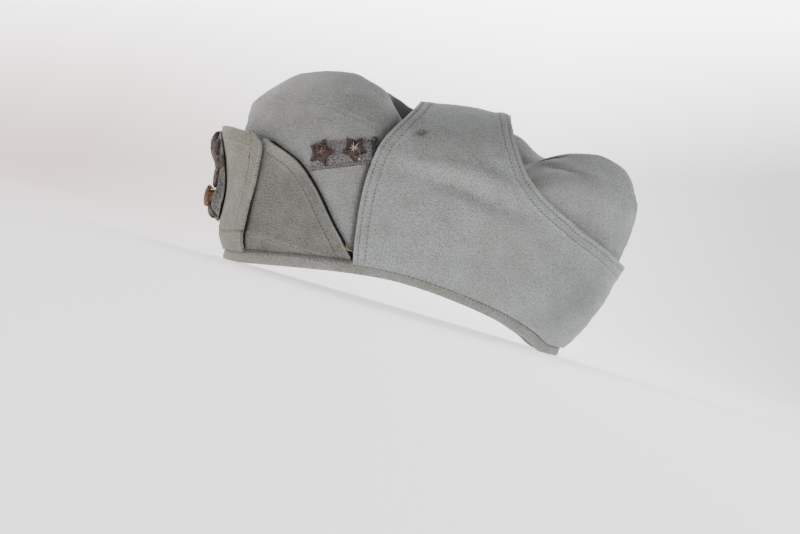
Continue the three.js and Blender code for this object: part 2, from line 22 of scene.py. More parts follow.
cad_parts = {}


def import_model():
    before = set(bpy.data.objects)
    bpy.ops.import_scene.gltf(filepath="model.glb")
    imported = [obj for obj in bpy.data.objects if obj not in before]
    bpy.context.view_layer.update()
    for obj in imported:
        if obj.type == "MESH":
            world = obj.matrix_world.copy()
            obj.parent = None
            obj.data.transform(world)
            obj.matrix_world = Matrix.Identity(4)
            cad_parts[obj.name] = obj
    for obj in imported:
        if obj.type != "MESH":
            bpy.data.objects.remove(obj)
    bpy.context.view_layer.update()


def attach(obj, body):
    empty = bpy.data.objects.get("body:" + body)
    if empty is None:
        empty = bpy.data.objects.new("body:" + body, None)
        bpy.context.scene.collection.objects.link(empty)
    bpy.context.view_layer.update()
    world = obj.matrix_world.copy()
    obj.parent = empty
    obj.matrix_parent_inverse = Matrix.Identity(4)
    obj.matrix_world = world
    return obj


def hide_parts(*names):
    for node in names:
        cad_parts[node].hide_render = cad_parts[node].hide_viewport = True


LOG = logging.getLogger("field_cap")
Array = np.ndarray
Place = Callable[[Array, Array], Array]
MM = 0.001
BODY = "root"

# Fixes the noise that sets embroidery threads askew, which otherwise starts from the clock
SEED = 1

# Cloth thicknesses, and the gap between sewn layers
CROWN_CLOTH = 1.5
FLAP_CLOTH = 2.2
TURNUP_CLOTH = 2.0
PEAK_CLOTH = 2.4
STRIP_CLOTH = 0.8
BADGE_CLOTH = 1.2
SEAM_GAP = 0.3
LAYER_GAP = 0.4

# Rough size of the cap's side: millimetres for a degree of turn and for the whole way up
MM_PER_TURN = 1.75
MM_PER_UP = 105

# Steps in turn and up over which the slope of a surface is read
TURN_STEP = 0.5
UP_STEP = 0.01


class Table:
    """Rows of numbers under named columns, read along the first column on a smooth curve."""

    def __init__(self, columns: str, *rows: tuple[float, ...]) -> None:
        """Stores the rows.

        Args:
            columns: names of the columns, the first of which is read along.
            rows: one tuple for each row, in rising order of the first column.
        """
        values = np.array(rows, dtype=float)
        self.keys = values[:, 0]
        self.columns = dict(zip(columns.split(), values.T))

    def at(self, column: str, place: Array) -> Array:
        """Values of a column at places along the table."""
        values = np.repeat(self.columns[column][:, None], np.size(place), axis=1)
        return smooth(self.keys, values, np.ravel(place)).reshape(np.shape(place))


def table(columns: str, *rows: tuple[float, ...]) -> Table:
    """A dataclass field that holds a table."""
    return field(default_factory=lambda: Table(columns, *rows))


def smooth(keys: Array, values: Array, at: Array) -> Array:
    """Reads a smooth curve through rows that doesn't overshoot them.

    Args:
        keys: the rows' places, rising.
        values: one row for each key and one column for each point that is read.
        at: the place of each point.

    Returns:
        One value for each point.
    """
    last = len(keys) - 1
    slopes = np.empty_like(values)
    slopes[0] = (values[1] - values[0]) / (keys[1] - keys[0])
    slopes[last] = (values[last] - values[last - 1]) / (keys[last] - keys[last - 1])
    if last > 1:
        before = values[1:-1] - values[:-2]
        after = values[2:] - values[1:-1]
        mean = (values[2:] - values[:-2]) / (keys[2:] - keys[:-2])[:, None]
        slopes[1:-1] = np.where(before * after <= 0, 0.0, mean)
    held = np.clip(at, keys[0], keys[last])
    row = np.clip(np.searchsorted(keys, held, side="left") - 1, 0, last - 1)
    point = np.arange(len(held))
    span = keys[row + 1] - keys[row]
    t = (held - keys[row]) / span
    here = (1 + 2 * t) * (1 - t) ** 2 * values[row, point]
    there = t * t * (3 - 2 * t) * values[row + 1, point]
    bend = t * (1 - t) ** 2 * slopes[row, point] - t * t * (1 - t) * slopes[row + 1, point]
    return here + there + bend * span


def blend(a: Array, b: Array, t: Array) -> Array:
    """Value between a and b."""
    return a + (b - a) * t


def unit(vectors: Array) -> Array:
    """The vectors at length 1."""
    return vectors / np.maximum(np.linalg.norm(vectors, axis=-1, keepdims=True), 1e-12)


def ease(t: Array) -> Array:
    """Smooth step from 0 to 1."""
    t = np.clip(t, 0.0, 1.0)
    return t * t * (3 - 2 * t)


@dataclass(frozen=True)
class Outline:
    """A horizontal outline of the cap at one share of the way up."""

    up: float
    front: float
    back: float
    widest: float
    half: float
    square: float

    def point(self, turn: Array) -> tuple[Array, Array]:
        """X and Y of the outline in each direction.

        Args:
            turn: the directions.

        Returns:
            X and Y, in millimetres.
        """
        c, s = np.cos(np.radians(turn)), np.sin(np.radians(turn))
        reach = np.where(c > 0, self.widest - self.front, self.back - self.widest)
        power = 2 / self.square
        y = self.widest - np.sign(c) * reach * np.abs(c) ** power
        return np.sign(s) * self.half * np.abs(s) ** power, y


@dataclass(frozen=True)
class Fold:
    """A soft fold or dent of one side of a surface; a depth below 0 is a ridge. A dark above 0 darkens
    the cloth over it, mostly as painted shade; below 0 it lightens the cloth, mostly as painted light.
    """

    left: bool
    turn: float
    up: float
    tilt: float
    long: float
    wide: float
    depth: float
    dark: float = 0.0

    def at(self, turn: Array, up: Array) -> Array:
        """Depth of the fold at places on the surface."""
        return self.depth * self.share(turn, up)

    def share(self, turn: Array, up: Array) -> Array:
        """How far into the fold places are, from 0 to 1 at its middle.

        Args:
            turn: directions.
            up: shares up.

        Returns:
            One share for each place.
        """
        across = (np.abs(turn) - self.turn) * MM_PER_TURN
        above = (up - self.up) * MM_PER_UP
        c, s = math.cos(math.radians(self.tilt)), math.sin(math.radians(self.tilt))
        a = (across * c + above * s) / self.long
        b = (above * c - across * s) / self.wide
        return np.where((turn >= 0) == self.left, np.exp(-a * a - b * b), 0.0)


@dataclass
class CapForm:
    """The outer surfaces of the crown, the neck flap, the front flap and the peak."""

    rim: Table = table(
        "y height",
        (-104, 0), (-93, 1.2), (-82, 3.3), (-53, 8.8), (-25, 13.4), (4, 15.9),
        (33, 14.6), (63, 10.6), (83, 5.2), (96, 0), (106, 0),
    )
    ridge: Table = table(
        "y left right",
        (-115, 112, 112), (-90, 117, 117), (-70, 123.5, 123.5), (-56, 125.2, 125.5),
        (-47, 123.4, 125.8), (-42, 122.1, 125.6), (-36.8, 120.3, 124.9), (-34.2, 118.4, 124.3),
        (-31.8, 115.2, 123.6), (-27, 110.3, 122.4), (-21, 105.6, 119.9), (0, 104, 116),
        (30, 102, 116.5), (45, 100.5, 121.6), (50, 101, 120.2), (54, 102, 118),
        (58.5, 104.4, 115.3), (66, 109.5, 112.8), (80, 116.5, 113), (95, 120.5, 117),
        (111, 117.3, 116.8), (126, 112, 112),
    )
    crease: Table = table(
        "y height",
        (-82, 115), (-60, 114), (-40, 108), (-20, 99), (10, 95), (45, 97),
        (70, 102), (90, 108), (102, 111),
    )
    crown_outlines: tuple[Outline, ...] = (
        Outline(0.0, -98, 100.3, 6, 76.3, 2.2),
        Outline(0.25, -102.5, 113.2, 7, 78.2, 2.2),
        Outline(0.5, -107.4, 121.6, 8, 77.2, 2.15),
        Outline(0.66, -110.8, 125.4, 8, 74, 2.1),
        Outline(0.8, -111.2, 126.4, 8, 67, 2.05),
        Outline(0.9, -105, 123.4, 8, 56, 2.0),
        Outline(1.0, -90, 112, 8, 36, 2.0),
    )
    slope: Outline = Outline(1.14, -84, 105, 8, 15, 2.0)
    slope_fall: float = 0.42
    crease_line: Outline = Outline(1.3, -80, 100, 8, 0, 2.0)
    top_seam: Table = table(
        "turn up",
        (0, 0.85), (20, 0.87), (48, 0.81), (63, 0.78), (80, 0.8), (105, 0.9),
        (118, 0.935), (130, 0.88), (145, 0.872), (180, 0.9),
    )
    flap_outlines: tuple[Outline, ...] = (
        Outline(0.0, -102.3, 104, 6, 80.6, 2.2),
        Outline(0.18, -106, 116.1, 7, 82.6, 2.2),
        Outline(0.42, -110, 125.2, 8, 82.6, 2.15),
        Outline(0.6, -112, 130, 8, 80.4, 2.1),
        Outline(0.76, -112, 131, 8, 75.4, 2.05),
        Outline(0.88, -106, 128, 8, 65.5, 2.0),
        Outline(1.0, -95, 118, 8, 44, 2.0),
    )
    flap_ridge: Table = table(
        "y height",
        (-60, 116), (-15, 118.6), (8, 122.4), (24, 124), (38, 123.8), (130, 124),
    )
    flap_end: Table = table(
        "up x left_rise left_back right_rise right_back",
        (1.12, 26, 1.2, 0, 0.3, 1), (1.3, 8, 2.0, 0, -0.7, 2), (1.5, -9, 2.2, 0, -1.1, 2),
    )
    turnup_standoff: Table = table(
        "up front side",
        (0.0, 0.6, 0.5), (0.05, 0.7, 0.5), (0.155, 4.2, 0.8), (0.35, 2.4, 1.2),
        (0.64, 7.6, 2.4), (0.8, 10, 3),
    )
    turnup_top: Table = table(
        "turn up",
        (0, 0.64), (25, 0.624), (31, 0.62), (35.2, 0.616), (40.7, 0.576), (46.4, 0.528),
        (50.6, 0.482), (55.1, 0.418), (60, 0.337), (64.7, 0.25), (69.3, 0.168), (73.6, 0.088),
    )
    gap_power: float = 1.5
    crown_folds: tuple[Fold, ...] = (
        Fold(True, 141, 0.6, -10, 20, 8, 2.6),
        Fold(False, 136, 0.65, -8, 22, 8, 2.2),
        Fold(True, 47, 0.76, 4, 22, 5, 0.9),
        Fold(False, 40, 0.72, -6, 18, 6, 1.1),
    )
    flap_folds: tuple[Fold, ...] = (
        Fold(True, 97, 0.56, 0, 30, 4.5, 1.2),
        Fold(True, 99, 0.66, -4, 24, 6, -0.9),
        Fold(False, 92, 0.6, 6, 30, 5, 1.0),
    )

    def crown(self, turn: Array, up: Array) -> Array:
        """Points of the crown's outer face.

        Args:
            turn: directions.
            up: shares up.

        Returns:
            One point for each place.
        """
        heights = [self._risen(o, turn, self._ridge_height) for o in self.crown_outlines]
        slope_x, slope_y = self.slope.point(turn)
        ridge = self._ridge_height(turn, slope_y)
        fall = self.slope_fall * (ridge - self.crease.at("height", slope_y))
        line_x, line_y = self.crease_line.point(turn)
        heights.append(np.stack([slope_x, slope_y, ridge - fall]))
        heights.append(np.stack([line_x, line_y, self.crease.at("height", line_y)]))
        ups = [o.up for o in (*self.crown_outlines, self.slope, self.crease_line)]
        return self._folded(self.crown_folds, turn, up, self._through(ups, heights, up))

    def flap(self, turn: Array, up: Array) -> Array:
        """Points of the neck flap's outer face.

        Args:
            turn: directions.
            up: shares up.

        Returns:
            One point for each place.
        """
        stations = [
            self._risen(o, turn, lambda _, y: self.flap_ridge.at("height", y))
            for o in self.flap_outlines
        ]
        _, y, z = stations[-1]
        left = turn >= 0
        for row in range(len(self.flap_end.keys)):
            column = {name: values[row] for name, values in self.flap_end.columns.items()}
            rise = np.where(left, column["left_rise"], column["right_rise"])
            back = np.where(left, column["left_back"], column["right_back"])
            stations.append(np.stack([np.where(left, 1, -1) * column["x"], y + back, z + rise]))
        ups = [o.up for o in self.flap_outlines] + list(self.flap_end.keys)
        return self._folded(self.flap_folds, turn, up, self._through(ups, stations, up))

    def turnup_gap(self, turn: Array, up: Array) -> Array:
        """Gap between crown and front flap, wide in front and narrow at the tips.

        Args:
            turn: directions.
            up: shares up.

        Returns:
            The gap at each place.
        """
        tip = self.turnup_top.keys[-1]
        quarter = np.radians(np.minimum(np.abs(turn) / tip, 1) * 90)
        front = np.cos(quarter) ** self.gap_power
        side = self.turnup_standoff.at("side", up)
        return side + front * (self.turnup_standoff.at("front", up) - side)

    def off_crown(self, turn: Array, up: Array, distance: Array | float) -> Array:
        """Points that stand off the crown by a distance."""
        return lifted(self.crown, turn, up, distance)

    def turnup(self, turn: Array, up: Array) -> Array:
        """Points of the front flap's outer face."""
        return self.off_crown(turn, up, self.turnup_gap(turn, up) + TURNUP_CLOTH)

    def peak(self, turn: Array, up: Array) -> Array:
        """Points of the peak's outer face."""
        layers = TURNUP_CLOTH + LAYER_GAP + PEAK_CLOTH
        return self.off_crown(turn, up, self.turnup_gap(turn, up) + layers)

    def strip(self, turn: Array, up: Array) -> Array:
        """Points of the rank strip's outer face."""
        return self.off_crown(turn, up, SEAM_GAP + STRIP_CLOTH)

    def _ridge_height(self, turn: Array, y: Array) -> Array:
        """Height of the crown's ridge on the side that a direction is on."""
        return np.where(turn < 0, self.ridge.at("right", y), self.ridge.at("left", y))

    def _risen(self, outline: Outline, turn: Array, top: Callable[[Array, Array], Array]) -> Array:
        """An outline's points at their height between the rim and a top line."""
        x, y = outline.point(turn)
        z = self.rim.at("height", y) * (1 - outline.up) + top(turn, y) * outline.up
        return np.stack([x, y, z])

    @staticmethod
    def _through(ups: list[float], stations: list[Array], up: Array) -> Array:
        """Points on smooth curves through stations that each have their own share up."""
        places = np.stack(stations)
        return np.stack([smooth(np.array(ups), places[:, axis], up) for axis in range(3)], axis=1)

    def _folded(self, folds: tuple[Fold, ...], turn: Array, up: Array, points: Array) -> Array:
        """Points moved inwards by the depth of the folds there.

        Args:
            folds: the surface's folds.
            turn: directions.
            up: shares up.
            points: the points there.

        Returns:
            The moved points.
        """
        depth = sum(fold.at(turn, up) for fold in folds)
        middle = self.crease_line.widest
        inwards = np.stack([-points[:, 0], middle - points[:, 1], 0 * points[:, 0]], axis=1)
        return points + unit(inwards) * depth[:, None]


def facing(surface: Place, turn: Array, up: Array) -> Array:
    """The way a surface faces at places on it.

    Args:
        surface: the surface.
        turn: directions.
        up: shares up.

    Returns:
        A vector of length 1 for each place.
    """
    step = 0.02
    across = surface(turn + step, up) - surface(turn - step, up)
    upwards = surface(turn, up + step / 10) - surface(turn, up)
    return unit(np.cross(across, upwards))


def lifted(surface: Place, turn: Array, up: Array, height: Array | float) -> Array:
    """Points that stand off a surface by a height."""
    away = np.reshape(height * np.ones(np.shape(turn)), (-1, 1))
    return surface(turn, up) + away * facing(surface, turn, up)


def inset(surface: Place, turn: Array, up: Array, distance: float) -> tuple[Array, Array]:
    """Moves a path sideways on a surface, to the left of its direction.

    Args:
        surface: the surface that the path lies on.
        turn: the path's directions.
        up: the path's shares up.
        distance: how far it is moved, in millimetres.

    Returns:
        The moved path's directions and shares up.
    """
    points = surface(turn, up)
    along = unit(np.gradient(points, axis=0))
    aside = np.cross(facing(surface, turn, up), along) * distance
    turned = (surface(turn + TURN_STEP, up) - points) / TURN_STEP
    raised = (surface(turn, up + UP_STEP) - points) / UP_STEP
    a, b, c = (turned * turned).sum(1), (turned * raised).sum(1), (raised * raised).sum(1)
    p, q = (turned * aside).sum(1), (raised * aside).sum(1)
    size = a * c - b * b
    return turn + (p * c - q * b) / size, up + (a * q - b * p) / size


def place_with(
    surface: Place, axis: int, side: Array, z: Array, start: tuple[float, float],
) -> tuple[Array, Array]:
    """Finds the places on a surface with the wanted height and position along one axis.

    Args:
        surface: the surface.
        axis: 0 for X, 1 for Y.
        side: wanted positions along that axis.
        z: wanted heights.
        start: direction and share up to start from.

    Returns:
        Directions and shares up.
    """
    rounds, most_turn, most_up = 9, 10, 0.15
    turn, up = np.full(np.shape(side), start[0]), np.full(np.shape(side), start[1])
    for _ in range(rounds):
        here = surface(turn, up)
        turned = surface(turn + TURN_STEP, up) - here
        raised = surface(turn, up + UP_STEP) - here
        aside, above = side - here[:, axis], z - here[:, 2]
        size = turned[:, axis] * raised[:, 2] - raised[:, axis] * turned[:, 2]
        turning = TURN_STEP * (aside * raised[:, 2] - raised[:, axis] * above) / size
        rising = UP_STEP * (turned[:, axis] * above - aside * turned[:, 2]) / size
        turn = turn + np.clip(turning, -most_turn, most_turn)
        up = up + np.clip(rising, -most_up, most_up)
    return turn, up


@dataclass(frozen=True)
class Binding:
    """How cloth rises and sinks beside an edge or a seam.

    The cloth is proud over a width from the line, sinks in a groove at each stitch row, rolls in
    at the line itself, and puckers in small waves along it. It is rubbed paler at the edge and
    beside the rows, and painted darker in the grooves and in a band at the line, mostly as painted shade.
    """

    width: float = 5.6
    proud: float = 0.35
    rows: tuple[float, ...] = (2.5, 6.8)
    groove: float = 0.26
    roll: float = 0.0
    roll_width: float = 1.1
    dark: float = 0.0
    dark_width: float = 0.7
    pucker: float = 0.1
    period: float = 5.4
    sway: float = 1.7
    sway_length: float = 11.0
    pucker_reach: float = 2.5
    fall: float = 1.1
    groove_width: float = 0.5
    edge_rub: float = 0.6
    lightening_offset: float = 1.1
    lightening_width: float = 0.8
    row_mark: float = 0.16
    row_shade_width: float = 0.45

    def relief(self, distance: Array, along: Array) -> Array:
        """Height of the cloth at distances from the line and places along it.

        Args:
            distance: distances from the line.
            along: places along it.

        Returns:
            Height at each point.
        """
        height = self.proud * (1 - ease((distance - self.width) / self.fall))
        for row in self.rows:
            height = height - self.groove * np.exp(-(((distance - row) / self.groove_width) ** 2))
        height = height - self.roll * np.exp(-((distance / self.roll_width) ** 2))
        wave = np.sin(along * 2 * math.pi / self.period + self.sway * np.sin(along / self.sway_length))
        reach = self.width + self.pucker_reach
        return height + self.pucker * wave * np.exp(-((distance / reach) ** 2))

    def lightening(self, distance: Array) -> Array:
        """How much the cloth is rubbed pale beside the line, mostly on an edge or a ridge."""
        at_line = 0.0 if self.roll else self.edge_rub
        ridge = sum(
            np.exp(-(((distance - row - self.lightening_offset) / self.lightening_width) ** 2)) for row in self.rows
        )
        return at_line * np.exp(-((distance / self.lightening_width) ** 2)) + self.row_mark * ridge

    def grime(self, distance: Array) -> Array:
        """How dark the cloth is painted in the grooves and in a band at the line, mostly as painted
        shade.
        """
        grooves = sum(np.exp(-(((distance - row) / self.row_shade_width) ** 2)) for row in self.rows)
        return self.row_mark * grooves + self.dark * np.exp(-((distance / self.dark_width) ** 4))


class Line:
    """An edge or seam as a line of points that tells how far other points are from it."""

    step: float = 0.6
    block: int = 2000

    def __init__(self, points: Array, binding: Binding) -> None:
        """Stores the line and resamples it evenly.

        Args:
            points: points along the line, in millimetres.
            binding: what the cloth does beside it.
        """
        self.binding = binding
        steps = np.linalg.norm(np.diff(points, axis=0), axis=1)
        length = np.concatenate([[0.0], np.cumsum(steps)])
        self.along = np.arange(0.0, length[-1], self.step)
        self.points = np.stack([np.interp(self.along, length, points[:, k]) for k in range(3)], axis=1)
        self.ahead = unit(np.gradient(self.points, axis=0))

    def near(self, points: Array) -> tuple[Array, Array]:
        """Distance of each point from the line, and the nearest place along it.

        Args:
            points: the other points.

        Returns:
            The distances, and the places along the line.
        """
        slack = 0.4
        nearest = np.empty(len(points), dtype=int)
        sizes = (self.points ** 2).sum(axis=1)
        for first in range(0, len(points), self.block):
            part = points[first:first + self.block]
            nearest[first:first + self.block] = (sizes - 2 * part @ self.points.T).argmin(axis=1)
        away = points - self.points[nearest]
        ahead = np.clip((away * self.ahead[nearest]).sum(axis=1), -slack, slack)
        distance = np.sqrt(np.maximum((away ** 2).sum(axis=1) - ahead ** 2, 0.0))
        return distance, self.along[nearest] + ahead


@dataclass(frozen=True)
class Rumple:
    """Soft unevenness of worn cloth: its height and its length across and up, in millimetres."""

    height: float = 0.35
    across: float = 30.0
    upwards: float = 18.0
    seed: float = 0.0
    octaves: tuple[tuple[float, float], ...] = ((1.0, 0.7), (2.3, 0.3))

    def at(self, points: Array) -> Array:
        """Height at points of the piece.

        Args:
            points: points, in millimetres.

        Returns:
            One height for each point.
        """
        scale = np.array([self.across, self.across, self.upwards])
        total = np.zeros(len(points))
        for octave, share in self.octaves:
            places = points / scale * octave + self.seed
            total += share * np.array([noise.noise(Vector(place)) for place in places])
        return total * self.height


def spaced(length: float, step: float, first: float = 0.0, last: float = 0.0) -> Array:
    """Shares from 0 to 1 along a length, close together over a border at each end.

    Args:
        length: the whole length, in millimetres.
        step: spacing between the borders.
        first: width of the border at the start.
        last: width of the border at the end.

    Returns:
        The shares, rising.
    """
    fine, least = 0.5, 0.12
    start = np.arange(0.0, first, fine)
    end = length - np.arange(0.0, last, fine)[::-1] if last else np.array([length])
    middle = np.linspace(first, length - last, max(2, round((length - first - last) / step) + 1))
    marks = np.unique(np.round(np.concatenate([start, middle, end, [0.0, length]]), 4))
    keep = np.concatenate([[True], np.diff(marks) > least])
    keep[-1] = True
    return marks[keep] / length


def select_only(piece: bpy.types.Object) -> None:
    """Deselects everything and makes one object selected and active."""
    bpy.ops.object.select_all(action="DESELECT")
    piece.select_set(True)
    bpy.context.view_layer.objects.active = piece


def named(name: str) -> bpy.types.Object:
    """Names the object that was just added, and its mesh."""
    piece = bpy.context.object
    piece.name = piece.data.name = name
    return piece


def choose(elements: bpy.types.bpy_prop_collection, chosen: list[bool], kind: str) -> None:
    """Opens edit mode with the chosen points or edges of the active mesh selected.

    Args:
        elements: the mesh's vertices or edges.
        chosen: whether each of them is selected.
        kind: VERT or EDGE.
    """
    bpy.ops.object.mode_set(mode="EDIT")
    bpy.ops.mesh.select_mode(type=kind)
    bpy.ops.mesh.select_all(action="DESELECT")
    bpy.ops.object.mode_set(mode="OBJECT")
    elements.foreach_set("select", chosen)
    bpy.ops.object.mode_set(mode="EDIT")


def smoothed(piece: bpy.types.Object) -> None:
    """Shades an object smooth."""
    select_only(piece)
    bpy.ops.object.shade_smooth()


def apply_modifier(piece: bpy.types.Object, kind: str, **settings: object) -> None:
    """Adds a modifier with the given settings and applies it.

    Args:
        piece: the object.
        kind: the modifier's type.
        settings: its settings by name.
    """
    select_only(piece)
    modifier = piece.modifiers.new(kind.title(), kind)
    for name, value in settings.items():
        setattr(modifier, name, value)
    bpy.ops.object.modifier_apply(modifier=modifier.name)


def mark(piece: bpy.types.Object, name: str, values: Array) -> None:
    """Stores a value for each point of a mesh, for its material to read."""
    layer = piece.data.attributes.new(name, "FLOAT", "POINT")
    layer.data.foreach_set("value", values.ravel().astype(np.float32))


def bent_grid(
    name: str, points: Array, marks: dict[str, Array] | None = None, keep: Array | None = None,
) -> bpy.types.Object:
    """Adds a grid and lays it on points, with its UV map in millimetres along the cloth.

    Args:
        name: the object's name.
        points: rows by columns by 3, in millimetres.
        marks: values for each point, by the name that materials read them by.
        keep: rows by columns, false where the grid's points are cut away.

    Returns:
        The mesh object, open and one layer thick.
    """
    rows, columns = points.shape[:2]
    bpy.ops.object.select_all(action="DESELECT")
    bpy.ops.mesh.primitive_grid_add(x_subdivisions=columns - 1, y_subdivisions=rows - 1, size=1)
    piece = named(name)
    mesh = piece.data
    mesh.vertices.foreach_set("co", (points.reshape(-1, 3) * MM).ravel())
    across = np.linalg.norm(np.diff(points, axis=1), axis=2)
    upwards = np.linalg.norm(np.diff(points, axis=0), axis=2)
    u = np.tile(np.concatenate([[0.0], np.cumsum(across[rows // 2])]), (rows, 1))
    v = np.concatenate([np.zeros((1, columns)), np.cumsum(upwards, axis=0)], axis=0)
    uv = np.stack([u.ravel(), v.ravel()], axis=1)
    corner = np.empty(len(mesh.loops), dtype=int)
    mesh.loops.foreach_get("vertex_index", corner)
    mesh.uv_layers[0].data.foreach_set("uv", uv[corner].ravel())
    for label, values in (marks or {}).items():
        mark(piece, label, values)
    if keep is not None:
        select_only(piece)
        choose(mesh.vertices, (~keep).ravel(), "VERT")
        bpy.ops.mesh.delete(type="VERT")
        bpy.ops.object.mode_set(mode="OBJECT")
    return piece


def merged(piece: bpy.types.Object, distance: float = 0.002) -> None:
    """Joins points of a mesh that are closer than a distance in millimetres."""
    select_only(piece)
    bpy.ops.object.mode_set(mode="EDIT")
    bpy.ops.mesh.select_all(action="SELECT")
    bpy.ops.mesh.remove_doubles(threshold=distance * MM)
    bpy.ops.object.mode_set(mode="OBJECT")


def thickened(piece: bpy.types.Object, thickness: float, rounding: float) -> None:
    """Gives open cloth its thickness inwards and rounds its edges.

    Args:
        piece: the open mesh, facing outwards.
        thickness: in millimetres.
        rounding: width of the rounded edge, in millimetres.
    """
    apply_modifier(piece, "SOLIDIFY", thickness=thickness * MM, offset=-1.0, use_even_offset=False)
    sharp = math.radians(50)
    apply_modifier(
        piece, "BEVEL", width=rounding * MM, segments=3, limit_method="ANGLE",
        angle_limit=sharp, use_clamp_overlap=True,
    )
    smoothed(piece)


@dataclass(frozen=True)
class Stitch:
    """A row of sewing thread: length and pitch of a stitch, and the thread's radius."""

    length: float = 1.4
    pitch: float = 2.35
    radius: float = 0.23
    proud: float = 0.16
    start: float = 0.4

    def paths(self, points: Array, faces: Array, holes: bool = False) -> list[Array]:
        """Short thread paths along a line, or the dips between them for the dark threads that paint the
        needle holes' shade.

        Args:
            points: points along the line.
            faces: the way the cloth faces at each point.
            holes: whether the dips for the painted hole shade are wanted in place of the thread.

        Returns:
            One path for each stitch.
        """
        steps = np.linalg.norm(np.diff(points, axis=0), axis=1)
        length = np.concatenate([[0.0], np.cumsum(steps)])
        if holes:
            rise = np.array([-0.04, 0.05, -0.04])
            share = np.array([0.08, 0.5, 0.92]) * (self.pitch - self.length)
        else:
            rise = np.array([-0.2, 0.7, 1.0, 0.7, -0.2]) * self.proud
            share = np.array([0.0, 0.2, 0.5, 0.8, 1.0]) * self.length
        paths = []
        for start in np.arange(self.start, length[-1] - self.pitch, self.pitch):
            at = start + share + (self.length if holes else 0.0)
            spot = np.stack([np.interp(at, length, points[:, k]) for k in range(3)], axis=1)
            face = np.stack([np.interp(at, length, faces[:, k]) for k in range(3)], axis=1)
            paths.append(spot + unit(face) * rise[:, None])
        return paths


@dataclass
class Cloth:
    """One layer of cloth: a surface with its edges, seams and unevenness."""

    surface: Place
    lines: list[Line] = field(default_factory=list)
    rumple: Rumple = Rumple()
    still_above: float = 9.0
    still_fade: float = 0.08
    folds: tuple[Fold, ...] = ()
    rim: Table | None = None
    tuck: float = 0.4
    foot_height: float = 9.5
    foot_fade: float = 3.0
    shade: Place | None = None

    def on(self, turn: Array, up: Array) -> tuple[Array, Array, dict[str, Array]]:
        """Places the uneven cloth.

        Args:
            turn: directions of the places, in any shape.
            up: their shares up.

        Returns:
            The points, the way the cloth faces there, and how much it is lightened (wear and painted
            light) and darkened (painted shade and some grime).
        """
        base = self.surface(turn.ravel(), up.ravel())
        face = facing(self.surface, turn.ravel(), up.ravel())
        height = self.rumple.at(base)
        lightening, grime = np.zeros(len(base)), np.zeros(len(base))
        # Folds darken and lighten the cloth, mostly as painted shade and painted light; the shade
        # function paints shadow under overlapping layers
        for fold in self.folds:
            share = fold.share(turn.ravel(), up.ravel())
            height = height - fold.depth * share
            grime = np.maximum(grime, fold.dark * share)
            lightening = np.maximum(lightening, -fold.dark * share)
        if self.shade:
            grime = np.maximum(grime, self.shade(turn.ravel(), up.ravel()))
        for line in self.lines:
            distance, along = line.near(base)
            height = height + line.binding.relief(distance, along)
            lightening = np.maximum(lightening, line.binding.lightening(distance))
            grime = np.maximum(grime, line.binding.grime(distance))
        height = height * ease((self.still_above - up.ravel()) / self.still_fade)
        if self.rim:
            above = base[:, 2] - self.rim.at("height", base[:, 1])
            foot = ease((self.foot_height - above) / self.foot_fade)
            height = height * (1 - foot) - self.tuck * foot
        points = base + face * height[:, None]
        shape = (*turn.shape, 3)
        return points.reshape(shape), face.reshape(shape), {"lightening": lightening, "grime": grime}

    def piece(self, name: str, turn: Array, up: Array, keep: Array | None = None) -> bpy.types.Object:
        """Lays a grid on the cloth at rows and columns of places."""
        points, _, marks = self.on(turn, up)
        return bent_grid(name, points, marks, keep)

    def sewn(self, turn: Array, up: Array, stitch: Stitch, holes: bool = False) -> list[Array]:
        """Paths of a row of stitches, or of its needle holes, along places on the cloth."""
        points, face, _ = self.on(turn, up)
        return stitch.paths(points, face, holes)


def pieces(turn: Array, up: Array, keep: Array) -> list[tuple[Array, Array]]:
    """The unbroken runs of a path where it is kept.

    Args:
        turn: directions along the path.
        up: its shares up.
        keep: where it is kept.

    Returns:
        Directions and shares up of each run.
    """
    shortest = 8
    cuts = np.flatnonzero(np.diff(keep.astype(int))) + 1
    parts = zip(np.split(turn, cuts), np.split(up, cuts), np.split(keep, cuts))
    return [(a, b) for a, b, kept in parts if kept[0] and len(a) > shortest]


def placed(paths: list[Array], place: Callable[[Array, Array, Array], Array]) -> list[Array]:
    """Puts paths that are given across, along and in height on a surface, all in one go.

    Args:
        paths: flat paths of three columns.
        place: turns columns of places into points.

    Returns:
        The paths as points.
    """
    flat = np.concatenate(paths)
    ends = np.cumsum([len(path) for path in paths])[:-1]
    return np.split(place(flat[:, 0], flat[:, 1], flat[:, 2]), ends)


def threads(name: str, paths: list[Array], radius: float, taper: float = 0.55) -> bpy.types.Object:
    """Makes thread of round section along paths, as one mesh.

    Args:
        name: the object's name.
        paths: points of each thread, in millimetres.
        radius: the thread's radius, in millimetres.
        taper: the share of the radius at a thread's ends.

    Returns:
        The mesh object.
    """
    curve = bpy.data.curves.new(name, "CURVE")
    curve.dimensions = "3D"
    curve.bevel_depth = radius * MM
    curve.bevel_resolution = 1
    curve.use_fill_caps = True
    for path in paths:
        spline = curve.splines.new("POLY")
        spline.points.add(len(path) - 1)
        spline.points.foreach_set("co", np.column_stack([path * MM, np.ones(len(path))]).ravel())
        spline.points[0].radius = taper
        spline.points[-1].radius = taper
    piece = bpy.data.objects.new(name, curve)
    bpy.context.collection.objects.link(piece)
    select_only(piece)
    bpy.ops.object.convert(target="MESH")
    piece = bpy.context.object
    piece.data.name = name
    bpy.ops.object.shade_smooth()
    return piece


class Side(Enum):
    """The wearer's left or right side."""

    LEFT = 1
    RIGHT = -1


